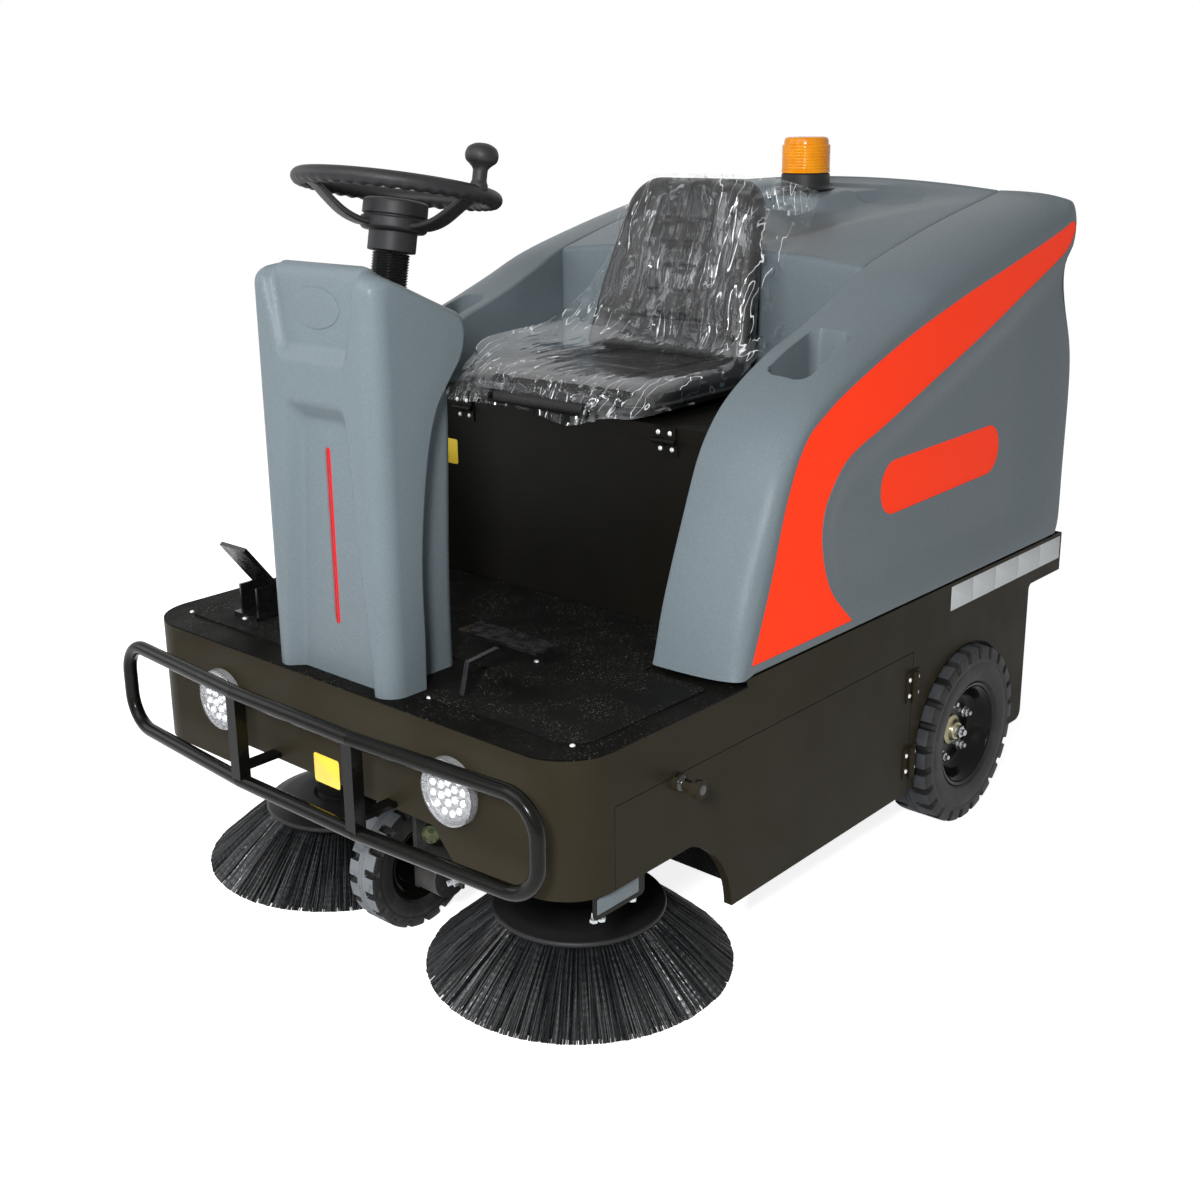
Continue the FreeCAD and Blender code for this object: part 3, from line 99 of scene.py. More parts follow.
class Finish:
    """One named surface: a shader, and the textures that vary it."""

    def __init__(self, name, colour, **values):
        self.mat = bpy.data.materials.new(name)
        self.mat.use_nodes = True
        self.nodes = self.mat.node_tree.nodes
        self.links = self.mat.node_tree.links
        self.shader = self.nodes["Principled BSDF"]
        self.shader.inputs["Base Color"].default_value = (*colour, 1)
        self.colour = colour
        for word, value in values.items():
            self.shader.inputs[SHADER_SOCKETS[word]].default_value = value
        self.place = self.nodes.new("ShaderNodeTexCoord").outputs["Object"]

    def add(self, kind, source, socket, **values):
        """A new node of one kind, with source linked to a socket and numbers set on others."""
        node = self.nodes.new("ShaderNode" + kind)
        for word, value in values.items():
            node.inputs[word.replace("_", " ")].default_value = value
        self.links.new(source, node.inputs[socket])
        return node

    def noise(self, scale, detail=3.0, rough=0.55, stretch=None):
        """A soft cloudy pattern; stretch squeezes it along each axis."""
        place = self.place
        if stretch:
            place = self.add("Mapping", place, "Vector", Scale=stretch).outputs["Vector"]
        return self.add("TexNoise", place, "Vector", Scale=scale, Detail=detail, Roughness=rough).outputs["Fac"]

    def cells(self, scale, feature="F1"):
        """A pattern of cells, as in leather or cut glass."""
        node = self.add("TexVoronoi", self.place, "Vector", Scale=scale)
        node.feature = feature
        return node.outputs["Distance"]

    def spread(self, source, low, high, to_low=0.0, to_high=1.0):
        """source, stretched from low..high to a new range."""
        return self.add("MapRange", source, "Value", From_Min=low, From_Max=high, To_Min=to_low,
                        To_Max=to_high).outputs["Result"]

    def combine(self, first, second, how="MULTIPLY"):
        """Two values multiplied, or joined by another sum."""
        node = self.nodes.new("ShaderNodeMath")
        node.operation = how
        for socket, value in zip(node.inputs, (first, second)):
            if isinstance(value, float):
                socket.default_value = value
            else:
                self.links.new(value, socket)
        return node.outputs[0]

    def upward(self, start=0.5, full=0.98):
        """1 on faces that look up, where dust settles, and 0 on the sides."""
        normal = self.nodes.new("ShaderNodeNewGeometry").outputs["Normal"]
        return self.spread(self.add("SeparateXYZ", normal, 0).outputs["Z"], start, full)

    def tint(self, factor, second):
        """Mixes a second colour into the base colour by factor."""
        mix = self.nodes.new("ShaderNodeMix")
        mix.data_type = "RGBA"
        base = self.shader.inputs["Base Color"]
        if base.is_linked:
            self.links.new(base.links[0].from_socket, mix.inputs["A"])
        else:
            mix.inputs["A"].default_value = (*self.colour, 1)
        mix.inputs["B"].default_value = (*second, 1)
        self.links.new(factor, mix.inputs["Factor"])
        self.links.new(mix.outputs["Result"], base)

    def mottle(self, scale, detail, low, high, amount, second, rough=0.55):
        """Clouds of a second colour: none where the noise is low, the full amount where it is high."""
        self.tint(self.spread(self.noise(scale, detail, rough), low, high, 0.0, amount), second)

    def dust_specks(self, fine, low, high, patches, from_patch):
        """Pale specks that lie close together in some patches and are absent in others."""
        specks = self.spread(self.noise(fine, 2), low, high)
        self.tint(self.combine(specks, self.spread(self.noise(patches, 4), from_patch, 0.7)), DUST)

    def patchy(self, scale, detail, low, high):
        """Lets the roughness wander between low and high."""
        wander = self.spread(self.noise(scale, detail), *MIDDLE_NOISE, low, high)
        self.links.new(wander, self.shader.inputs["Roughness"])

    def tooth(self, height, distance, strength):
        """Adds a relief; distance is its depth in metres."""
        node = self.add("Bump", height, "Height", Distance=distance, Strength=strength)
        self.links.new(node.outputs["Normal"], self.shader.inputs["Normal"])

    def grain(self, scale, detail, distance, strength):
        """A noise as relief, such as orange peel or moulded grain."""
        self.tooth(self.noise(scale, detail), distance, strength)


print("finish helpers are ready")

# %% [markdown]
# The sheet metal is powder coated: black, half matt, with a very fine orange peel; the little brown in its colour
# and in its lighter clouds is a painted reflection of the room. The tube bar has a glossier coat. The big covers
# are moulded plastic, blue-grey, with a fine grain and pale specks that are painted highlights of its sparkle. A
# plain colour would look like a toy, so every finish has grain at its true scale.

# %% Sheet metal, tube and moulded plastic
DUST = (0.32, 0.30, 0.27)

# Painted reflection: the warm brown in this black, and in its lighter clouds, stands for the room that the sheet
# reflects.
sheet_black = Finish("sheet_black", (0.0215, 0.0178, 0.0105), rough=0.40, specular=0.03)
sheet_black.mottle(3.1, 2, 0.35, 0.75, 0.8, (0.0260, 0.0222, 0.0142))
sheet_black.patchy(14, 4, 0.34, 0.47)
sheet_black.grain(950, 1.5, 0.00006, 0.55)

# Painted shade: a darker copy of the black sheet for the parts that stand in shade, in recesses, under the seat
# and covers and inside the wheel arches.
sheet_black_shaded = Finish("sheet_black_shaded", (0.0052, 0.0048, 0.0036), rough=0.42, specular=0.08)
sheet_black_shaded.patchy(14, 4, 0.36, 0.5)
sheet_black_shaded.grain(950, 1.5, 0.00006, 0.55)

deck_black = Finish("deck_black", (0.0028, 0.0028, 0.0024), rough=0.52, specular=0.025)
deck_black.dust_specks(420, 0.66, 0.74, 9, 0.45)
settled = deck_black.spread(deck_black.noise(5, 5), 0.4, 0.8, 0.0, 0.02)
deck_black.tint(deck_black.combine(deck_black.upward(), settled), DUST)
deck_black.patchy(11, 4, 0.38, 0.6)
deck_black.grain(700, 2, 0.00009, 0.6)

tube_black = Finish("tube_black", (0.0030, 0.0029, 0.0024), rough=0.27, specular=0.09, coat=0.05, coat_rough=0.1)
tube_black.grain(320, 2, 0.00012, 0.5)
tube_black.patchy(30, 3, 0.16, 0.3)

pedal_black = Finish("pedal_black", (0.004, 0.004, 0.0042), rough=0.24, specular=0.5)
pedal_black.patchy(60, 3, 0.16, 0.4)
pedal_black.grain(240, 2, 0.0003, 0.5)

moulded_grey = Finish("moulded_grey", (0.116, 0.143, 0.156), rough=0.42, specular=0.10)
moulded_grey.mottle(2.6, 3, 0.3, 0.75, 0.7, (0.108, 0.129, 0.138))
# Painted highlights: pale specks that stand for the glints of the fine grain.
moulded_grey.mottle(900, 1, 0.58, 0.74, 0.5, (0.25, 0.285, 0.305))
moulded_grey.patchy(620, 1, 0.24, 0.46)
moulded_grey.grain(640, 2, 0.0003, 0.55)

# Painted light: the red inlays glow faintly in their own orange-red, though they are no lamp.
band_red = Finish("band_red", (0.95, 0.040, 0.006), rough=0.42, specular=0.05, glow=0.20)
band_red.shader.inputs["Emission Color"].default_value = (1.0, 0.05, 0.012, 1)
band_red.mottle(500, 2, 0.4, 0.7, 0.35, (0.84, 0.034, 0.008))
band_red.patchy(300, 2, 0.34, 0.5)
band_red.grain(760, 2, 0.00018, 0.5)

stripe_red = Finish("stripe_red", (0.46, 0.004, 0.008), rough=0.36, specular=0.16)
stripe_red.mottle(400, 2, 0.45, 0.7, 0.4, (0.52, 0.005, 0.008))
stripe_red.grain(800, 1, 0.00008, 0.4)

# %% [markdown]
# Rubber and soft plastic have almost no gloss, and they collect pale dust where they touch the ground. The
# bristles are stiff nylon with a wet-looking shine along each one. The seat is black vinyl with a pressed
# leather grain, and it still has its clear transport film, which only shows by its creases.

# %% Rubber, bristles, vinyl and film
mat_rubber = Finish("mat_rubber", (0.0042, 0.0041, 0.0038), rough=0.62, specular=0.06)
mat_rubber.dust_specks(380, 0.63, 0.72, 12, 0.42)
mat_rubber.patchy(9, 4, 0.5, 0.75)
mat_rubber.grain(240, 3, 0.0004, 0.5)

tyre_rubber = Finish("tyre_rubber", (0.0115, 0.0113, 0.0108), rough=0.6, specular=0.2)
tyre_rubber.mottle(16, 6, 0.47, 0.75, 0.5, (0.055, 0.054, 0.051), 0.62)
tyre_rubber.grain(180, 4, 0.0006, 0.5)

tread_dust = Finish("tread_dust", (0.150, 0.160, 0.170), rough=0.85, specular=0.2)
tread_dust.mottle(24, 6, 0.52, 0.7, 0.85, (0.032, 0.034, 0.037), 0.65)
tread_dust.grain(160, 4, 0.0008, 0.6)

tread_worn = Finish("tread_worn", (0.042, 0.045, 0.049), rough=0.8, specular=0.25)
tread_worn.mottle(24, 6, 0.45, 0.68, 0.9, (0.022, 0.023, 0.025), 0.65)
tread_worn.grain(160, 4, 0.0008, 0.6)

fibre_black = Finish("fibre_black", (0.007, 0.0075, 0.008), rough=0.3, specular=0.3)
fibre_black.mottle(55, 3, 0.5, 0.75, 0.5, (0.022, 0.023, 0.025))
fibre_black.patchy(70, 2, 0.2, 0.42)
crimp = fibre_black.add("TexWave", fibre_black.place, "Vector", Scale=41, Distortion=4.0)
crimp.bands_direction = "Z"
fibre_black.tooth(crimp.outputs["Fac"], 0.0003, 0.6)

soft_black = Finish("soft_black", (0.0085, 0.0085, 0.009), rough=0.5, specular=0.26)
soft_black.mottle(500, 1, 0.55, 0.75, 0.4, (0.028, 0.028, 0.031))
soft_black.grain(820, 2, 0.00022, 0.6)

vinyl_black = Finish("vinyl_black", (0.007, 0.007, 0.0073), rough=0.36, specular=0.3)
vinyl_black.mottle(14, 3, 0.4, 0.8, 0.6, (0.018, 0.0175, 0.017))
vinyl_black.tooth(vinyl_black.cells(420, "DISTANCE_TO_EDGE"), 0.0003, 0.35)
vinyl_black.patchy(90, 3, 0.28, 0.46)

film_clear = Finish("film_clear", (0.93, 0.95, 0.97), metal=1.0, rough=0.075, alpha=0.1)
fine_folds = film_clear.noise(21, 2.2, 0.5, stretch=(1.9, 0.45, 0.2))
film_clear.tooth(fine_folds, 0.0065, 0.8)
folds = film_clear.combine(film_clear.combine(fine_folds, 0.5, "SUBTRACT"), 0.0, "ABSOLUTE")
fold_line = film_clear.spread(folds, 0.002, 0.008, 0.85, 0.0)
somewhere = film_clear.spread(film_clear.noise(7, 2, 0.5), 0.46, 0.56)
milky = film_clear.spread(film_clear.noise(15, 4, 0.6, stretch=(1.2, 0.7, 0.6)), 0.47, 0.74, 0.014, 0.09)
haze = film_clear.combine(milky, film_clear.combine(film_clear.upward(0.6, 0.95), 0.14), "ADD")
film_clear.links.new(film_clear.combine(film_clear.combine(fold_line, somewhere), haze, "ADD"),
                     film_clear.shader.inputs["Alpha"])

# %% [markdown]
# Small metal is what makes a machine look real: zinc nuts, a yellow-plated hub, white dome screws, chromed
# lamp bowls. They are bright, so they need believable roughness rather than colour.

# %% Metals, lenses and labels
zinc = Finish("zinc", (0.40, 0.41, 0.42), metal=1.0, rough=0.36)
zinc.mottle(60, 4, 0.4, 0.75, 0.6, (0.20, 0.205, 0.20))
zinc.patchy(110, 3, 0.26, 0.5)

gold_zinc = Finish("gold_zinc", (0.30, 0.27, 0.17), metal=1.0, rough=0.34)
gold_zinc.mottle(45, 4, 0.45, 0.7, 0.7, (0.16, 0.20, 0.13))
gold_zinc.patchy(90, 3, 0.3, 0.5)

cast_iron = Finish("cast_iron", (0.045, 0.046, 0.048), metal=0.55, rough=0.55)
cast_iron.mottle(70, 4, 0.45, 0.75, 0.6, (0.10, 0.085, 0.06))
cast_iron.grain(300, 4, 0.0006, 0.7)

chrome = Finish("chrome", (0.82, 0.83, 0.84), metal=1.0, rough=0.13)
chrome.patchy(50, 2, 0.06, 0.14)

bowl_grey = Finish("bowl_grey", (0.38, 0.385, 0.39), metal=1.0, rough=0.24)
# Painted reflection: darker cells in the bowl's colour stand for facets of the mirror that reflect less light.
bowl_grey.tint(bowl_grey.spread(bowl_grey.cells(300), 0.2, 0.6), (0.12, 0.12, 0.13))

dome_white = Finish("dome_white", (0.70, 0.71, 0.69), rough=0.3, metal=0.35)
dome_white.mottle(300, 2, 0.45, 0.7, 0.4, (0.5, 0.5, 0.49))

rim_black = Finish("rim_black", (0.0032, 0.0030, 0.0026), rough=0.2, specular=0.07, coat=0.05, coat_rough=0.04)
rim_black.mottle(120, 5, 0.66, 0.76, 0.4, (0.08, 0.075, 0.07), 0.7)
rim_black.grain(26, 3, 0.0008, 0.35)

lens_clear = Finish("lens_clear", (0.94, 0.95, 0.96), rough=0.05, specular=0.5, alpha=0.1)
lens_clear.tooth(lens_clear.cells(150), 0.0004, 0.5)

cap_green = Finish("cap_green", (0.022, 0.034, 0.013), metal=0.7, rough=0.16)
cap_green.mottle(80, 2, 0.4, 0.7, 1.0, (0.06, 0.055, 0.022))

amber = Finish("amber", (0.90, 0.33, 0.003), rough=0.12, clear=0.2, ior=1.46, specular=0.14)
amber.mottle(26, 3, 0.4, 0.75, 0.7, (0.74, 0.18, 0.003))
amber.patchy(60, 2, 0.08, 0.2)

label_yellow = Finish("label_yellow", (0.86, 0.60, 0.04), rough=0.42)
label_yellow.mottle(60, 3, 0.5, 0.8, 0.4, (0.72, 0.47, 0.03))

label_grey = Finish("label_grey", (0.50, 0.52, 0.52), rough=0.45)
label_grey.mottle(35, 3, 0.45, 0.8, 0.4, (0.40, 0.42, 0.42))

print(len(bpy.data.materials), "finishes")

# %% [markdown]
# The machine stands on a white floor under a white sky. Both are white only where the camera, a mirror or a
# lens sees them. To everything else they give less light than they show, so that the blacks stay black and
# the floor keeps the soft shadow of the machine. A real white room would wash the dark sheets out.

# %% Floor and sky
FLOOR_HALF, FLOOR_GLOW, SKY_LIGHT = 14.0, 0.85, 0.22


def seen_and_lit(tree, seen, lit, output):
    """Shows the shader seen to rays of the camera, of mirrors and of lenses; all others get the shader lit."""
    rays = tree.nodes.new("ShaderNodeLightPath")
    direct = rays.outputs["Is Camera Ray"]
    for ray in ("Is Glossy Ray", "Is Transmission Ray"):
        either = tree.nodes.new("ShaderNodeMath")
        either.operation = "MAXIMUM"
        tree.links.new(direct, either.inputs[0])
        tree.links.new(rays.outputs[ray], either.inputs[1])
        direct = either.outputs[0]
    pick = tree.nodes.new("ShaderNodeMixShader")
    for source, socket in zip((direct, lit.outputs[0], seen.outputs[0]), pick.inputs):
        tree.links.new(source, socket)
    tree.links.new(pick.outputs[0], tree.nodes[output].inputs["Surface"])


# Lit like paper, and a little brighter where it is looked at, so that it is white with a soft shadow.
paper_white = Finish("pale_floor", (0.86, 0.86, 0.86), rough=0.95, specular=0.0)
glow = paper_white.nodes.new("ShaderNodeEmission")
glow.inputs["Strength"].default_value = FLOOR_GLOW
both = paper_white.nodes.new("ShaderNodeAddShader")
paper_white.links.new(paper_white.shader.outputs[0], both.inputs[0])
paper_white.links.new(glow.outputs[0], both.inputs[1])
seen_and_lit(paper_white.mat.node_tree, both, paper_white.shader, "Material Output")

floor_mesh = bpy.data.meshes.new("studio_floor")
floor_mesh.from_pydata([(-FLOOR_HALF, -FLOOR_HALF, 0), (FLOOR_HALF, -FLOOR_HALF, 0),
                        (FLOOR_HALF, FLOOR_HALF, 0), (-FLOOR_HALF, FLOOR_HALF, 0)], [], [(0, 1, 2, 3)])
floor_mesh.materials.append(paper_white.mat)
studio_floor = put_in_scene("studio_floor", floor_mesh)

sky = bpy.data.worlds.new("studio")
bpy.context.scene.world = sky
sky.use_nodes = True
white_sky, dim_sky = sky.node_tree.nodes["Background"], sky.node_tree.nodes.new("ShaderNodeBackground")
for background, shade, strength in ((white_sky, (1, 1, 1, 1), 1.0), (dim_sky, (0.95, 0.97, 1.0, 1), SKY_LIGHT)):
    background.inputs["Color"].default_value = shade
    background.inputs["Strength"].default_value = strength
seen_and_lit(sky.node_tree, white_sky, dim_sky, "World Output")
print("floor of", 2 * FLOOR_HALF, "m and a white sky")

# %% [markdown]
# The photo was taken in a hall, with a flash. So a small strong lamp stands beside the camera and makes the
# crisp glints on tubes, film and screws. Large lamps give soft light and long highlights on the covers: one
# from the ceiling, one from the front, one like a window on the driver's right and a very weak one on the left.

# %% Lamps
def soft_lamp(name, place, aim, size, watts, colour=(1, 1, 1)):
    """A rectangular lamp at a place, turned to a point; the larger it is, the softer its shadows."""
    data = bpy.data.lights.new(name, "AREA")
    data.shape = "RECTANGLE"
    data.size, data.size_y = size
    data.energy = watts
    data.color = colour
    lamp = put_in_scene(name, data)
    lamp.location = place
    lamp.rotation_euler = (Vector(aim) - Vector(place)).to_track_quat("-Z", "Y").to_euler()


soft_lamp("ceiling_lamp", (0.2, -2.5, 2.8), (0, -0.2, 0.5), (2.2, 1.8), 50)
soft_lamp("front_lamp", (-0.7, -3.5, 2.1), (0, -0.4, 0.7), (2.0, 1.8), 23, (0.94, 0.97, 1.0))
soft_lamp("window_lamp", (-3.2, -2.2, 2.2), (0, -0.2, 0.7), (1.6, 2.2), 30, (0.93, 0.96, 1.0))
soft_lamp("near_lamp", (1.75, -2.65, 1.85), (0, -0.5, 0.8), (0.4, 0.36), 94, (0.97, 0.98, 1.0))
soft_lamp("side_lamp", (4.6, -0.8, 2.0), (0, 0, 0.5), (2.0, 1.6), 2, (1.0, 0.95, 0.88))
bpy.context.scene.view_settings.view_transform = "Standard"
print(len(bpy.data.lights), "lamps")

# %% [markdown]
# Each CAD part keeps its solid and gets its finish here. A part that a later cell builds again in finer
# shape is hidden there by name, so this table can list them all.

# %% Finishes of the CAD parts
NODE_FINISH = {
    sheet_black: ["chassis_frame", "front_apron", "side_panel_left", "side_panel_right", "door_left",
                  "door_right"],
    # the parts in shade get the darker copy of the black sheet, which is painted shade
    sheet_black_shaded: ["rear_frame", "seat_box", "seat_lid", "seat_pan", "brush_motors", "brush_tunnel", "hopper"],
    deck_black: ["deck_plate"],
    tube_black: ["bull_bar"],
    pedal_black: ["brake_pedal", "drive_pedal"],
    mat_rubber: ["floor_mat", "brush_flaps"],
    chrome: ["lamp_housings"],
    lens_clear: ["lamp_lenses"],
    rim_black: ["rear_rim_left", "rear_rim_right", "front_rim"],
    tyre_rubber: ["rear_tyre_left", "rear_tyre_right", "front_tyre"],
    cast_iron: ["steering_fork"],
    soft_black: ["brush_disc_left", "brush_disc_right", "roller_core", "steering_boot", "steering_wheel",
                 "beacon_base", "battery_pack"],
    fibre_black: ["brush_bristles_left", "brush_bristles_right", "roller_bristles"],
    moulded_grey: ["cover_arm_left", "cover_arm_right", "cover_hood", "steering_tower"],
    vinyl_black: ["seat_cushion", "seat_backrest"],
    amber: ["beacon_lens"],
}
for finish, names in NODE_FINISH.items():
    for name in names:
        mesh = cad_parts[name].data
        for place in range(max(1, len(mesh.materials))):
            if place < len(mesh.materials):
                mesh.materials[place] = finish.mat
            else:
                mesh.materials.append(finish.mat)
print("CAD parts with a finish:", sum(len(names) for names in NODE_FINISH.values()), "of", len(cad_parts))

# %% [markdown]
# Most pieces below are grown from lines of points, so a few small helpers come first: one walks evenly along
# a smooth line, one turns rows of points into a skin of quads, and one hangs a finished piece on its body.
# Measures are typed in millimetres, as on a drawing, and turned into metres when a mesh is made.

# %% Lines and distances
CURVE_STEPS = 16  # short steps that a smooth line takes between two points


def along(points, spots):
    """Points at the given shares (0 to 1) of a smooth line through points."""
    before, after = [[2 * a - b for a, b in zip(end, inner)] for end, inner in (points[:2], points[:-3:-1])]
    knots = [before, *points, after]
    dense = []
    for four in zip(knots, knots[1:], knots[2:], knots[3:]):
        for step in range(CURVE_STEPS):
            t = step / CURVE_STEPS
            dense.append([0.5 * (2 * b + (c - a) * t + (2 * a - 5 * b + 4 * c - d) * t * t
                                 + (3 * b - a - 3 * c + d) * t ** 3) for a, b, c, d in zip(*four)])
    dense.append(list(points[-1]))
    run = [0.0]
    for a, b in zip(dense, dense[1:]):
        run.append(run[-1] + math.dist(a, b))
    found, i = [], 0
    for spot in spots:
        goal = spot * run[-1]
        while i < len(run) - 2 and run[i + 1] < goal:
            i += 1
        share = 0 if run[i + 1] == run[i] else (goal - run[i]) / (run[i + 1] - run[i])
        found.append(tuple(a + (b - a) * share for a, b in zip(dense[i], dense[i + 1])))
    return found


def evenly(count, start=0.0, end=1.0):
    """Evenly spaced numbers, both ends included."""
    return [start + (end - start) * i / (count - 1) for i in range(count)]


def ease(t):
    """0 to 1 with a soft start and a soft stop."""
    t = min(max(t, 0.0), 1.0)
    return t * t * (3 - 2 * t)


def quarter(t):
    """0 to 1 along a quarter of a circle: flat at first and steep at the end."""
    return 1 - math.sqrt(max(0.0, 1 - t * t))


def inside(point, ring):
    """True if a flat point lies inside a closed ring."""
    u, v = point
    hit = False
    for (a, b), (c, d) in zip(ring, ring[1:] + ring[:1]):
        if (b > v) != (d > v) and u < (c - a) * (v - b) / (d - b) + a:
            hit = not hit
    return hit


def span_to(point, line):
    """Shortest distance from a flat point to an open line."""
    u, v = point
    best = 1e9
    for (a, b), (c, d) in zip(line, line[1:]):
        run = (c - a) ** 2 + (d - b) ** 2
        t = 0 if run == 0 else min(max(((u - a) * (c - a) + (v - b) * (d - b)) / run, 0), 1)
        best = min(best, math.hypot(u - a - t * (c - a), v - b - t * (d - b)))
    return best


print("a line through 3 points passes", along([(0, 0), (10, 8), (20, 0)], [0.25]), "at a quarter of its length")

# %% [markdown]
# A piece begins as a bmesh, which is a mesh that can still be changed. The machine is nearly symmetric, so
# most side pieces are made once, on the driver's left, and mirrored.

# %% From points to pieces
def skin(bm, rows, loop_rows=False, loop_columns=False, capped=False):
    """Quads between rows of points in millimetres. Returns the rows of vertices."""
    made = [[bm.verts.new([v * MM for v in p]) for p in row] for row in rows]
    for low, high in zip(made, made[1:] + made[:1] if loop_rows else made[1:]):
        count = len(low)
        for i in range(count if loop_columns else count - 1):
            j = (i + 1) % count
            bm.faces.new((low[i], low[j], high[j], high[i]))
    if capped:
        bm.faces.new(made[0][::-1])
        bm.faces.new(made[-1])
    return made


HUNG = {}  # for each piece: its body, its slot and the CAD part it stands for


def hang(name, mesh, body, slot, stands_for):
    """Makes an object of a mesh and hangs it on a body."""
    piece = put_in_scene(name, mesh)
    HUNG[name] = (body, slot, stands_for)
    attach(piece, body)
    if stands_for:
        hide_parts(stands_for)
    return piece


def solid_piece(name, bm, finish, body, slot="", stands_for="", merge=0.0, smooth=38):
    """Makes a piece of a finished bmesh and gives it its surface; edges sharper than smooth degrees stay."""
    if merge:
        bmesh.ops.remove_doubles(bm, verts=bm.verts, dist=merge * MM)
    bmesh.ops.recalc_face_normals(bm, faces=bm.faces)
    mesh = bpy.data.meshes.new(name)
    bm.to_mesh(mesh)
    bm.free()
    mesh.materials.append(finish.mat)
    if smooth:
        mesh.polygons.foreach_set("use_smooth", [True] * len(mesh.polygons))
        mesh.set_sharp_from_angle(angle=math.radians(smooth))
    return hang(name, mesh, body, slot, stands_for)


def mirrored(source):
    """The same piece on the driver's right: what is called left is called right there."""
    words = (source.name, *HUNG[source.name])
    name, body, slot, stands_for = (word.replace("left", "right") for word in words)
    bm = bmesh.new()
    bm.from_mesh(source.data)
    bmesh.ops.scale(bm, vec=(-1, 1, 1), verts=bm.verts)
    bmesh.ops.reverse_faces(bm, faces=bm.faces)
    mesh = bpy.data.meshes.new(name)
    bm.to_mesh(mesh)
    bm.free()
    for mat in source.data.materials:
        mesh.materials.append(mat)
    hang(name, mesh, body, slot, stands_for)


print("mesh helpers are ready")

# %% [markdown]
# The covers beside and behind the seat are large plastic mouldings. Each arm is drawn as two side outlines,
# one at the seat and a lower one at the outer side; between them the skin runs nearly flat and then rolls
# over the edge. A box with bevelled edges would be quicker, but the roll of the real arm changes from nose
# to tail, so the skin follows the two outlines point by point. The cup recess is pressed into the same skin.

# %% Outlines of the covers, as (y, z) on the drawing
ARM_OUTER_TOP = [(-325, 515), (-313, 536), (-259, 671), (-222, 786), (-177, 870), (-119, 919), (-32, 959),
                 (137, 1020), (336, 1073), (557, 1125), (718, 1165), (775, 1184)]
ARM_OUTER_REAR = [(775, 1184), (788, 1168), (782, 1130), (753, 1097), (746, 1055), (766, 997), (799, 920),
                  (810, 831), (808, 667), (807, 555), (796, 523)]
ARM_INNER_TOP = [(-362, 515), (-355, 545), (-333, 625), (-283, 757), (-241, 854), (-191, 916), (-129, 959),
                 (-41, 1001), (51, 1032), (147, 1071), (247, 1116), (408, 1159), (553, 1191), (740, 1226),
                 (766, 1233)]
ARM_INNER_REAR = [(766, 1233), (791, 1221), (785, 1165), (759, 1115), (755, 1060), (775, 999), (808, 920),
                  (819, 831), (817, 667), (816, 555), (803, 515)]
SEAT_SIDE_X, OUTER_X = 376.0, 540.0
ARM_FOOT, OUTER_FOOT = 515, 523
TOP_COUNT, REAR_COUNT, FOOT_COUNT = 150, 44, 30
NEAR_CUP = evenly(62, 0.34, 0.52)  # close points, because the cup's rim is small
top_spots = evenly(30, 0.0, 0.334) + NEAR_CUP + evenly(TOP_COUNT - 92, 0.527, 1.0)


def arm_ring(top, rear, foot_z):
    """A closed side outline that runs front, top, rear, foot."""
    ring = along(top, top_spots) + along(rear, evenly(REAR_COUNT + 1)[1:])
    back_y, front_y = ring[-1][0], ring[0][0]
    return ring + [(back_y + (front_y - back_y) * t, foot_z) for t in evenly(FOOT_COUNT + 1)[1:-1]]


def normals(before, after):
    """Unit normals of a line, from the points before and after each of its points."""
    found = []
    for (a, b), (c, d) in zip(before, after):
        run = math.hypot(c - a, d - b) or 1
        found.append((-(d - b) / run, (c - a) / run))
    return found


inner_ring = arm_ring(ARM_INNER_TOP, ARM_INNER_REAR, ARM_FOOT)
outer_ring = arm_ring(ARM_OUTER_TOP, ARM_OUTER_REAR, OUTER_FOOT)
inner_normals = normals(inner_ring[-1:] + inner_ring[:-1], inner_ring[1:] + inner_ring[:1])
print("arm outline has", len(inner_ring), "points")

# %% [markdown]
# The roll of the edge is a superellipse: flat over most of the width and round at its end. Towards the tail
# and along the foot the edge is much smaller, so the roll there only takes the last few millimetres.

# %% Skin of one arm with its cup recess
ROLL_POWER, EDGE_ROUND, LIP_ROUND = 2.5, 13.0, 4.0
CUP_X, CUP_Y, CUP_HALF_X, CUP_HALF_Y, CUP_CORNER, CUP_FLOOR = 447.0, -26.0, 41.0, 77.0, 24.0, 934.0
CUP_RIM, RIM_DROP, CUP_WALL, LEVEL_Z = 5, 1.6, 7.0, 900  # above LEVEL_Z the skin is the arm's top
arm_columns = ([376, 377.2, 379, 384, 390, 396, 400] + [402.5 + 3.5 * i for i in range(26)]
               + [494, 500, 506, 512, 518, 523, 527.5, 531, 534, 536.5, 538.4, 539.5, 540])


def cup_distance(x, y):
    """Distance from the cup's outline, negative inside."""
    u = abs(x - CUP_X) - CUP_HALF_X + CUP_CORNER
    v = abs(y - CUP_Y) - CUP_HALF_Y + CUP_CORNER
    return math.hypot(max(u, 0), max(v, 0)) + min(max(u, v), 0) - CUP_CORNER


def edge_share(x, is_top):
    """How far the skin has turned from the inner outline to the outer one at x."""
    share = (x - SEAT_SIDE_X) / (OUTER_X - SEAT_SIDE_X)
    big = 1 - (1 - share ** ROLL_POWER) ** (1 / ROLL_POWER)
    small = quarter(max(0.0, (x - OUTER_X + EDGE_ROUND) / EDGE_ROUND))
    return is_top * big + (1 - is_top) * small


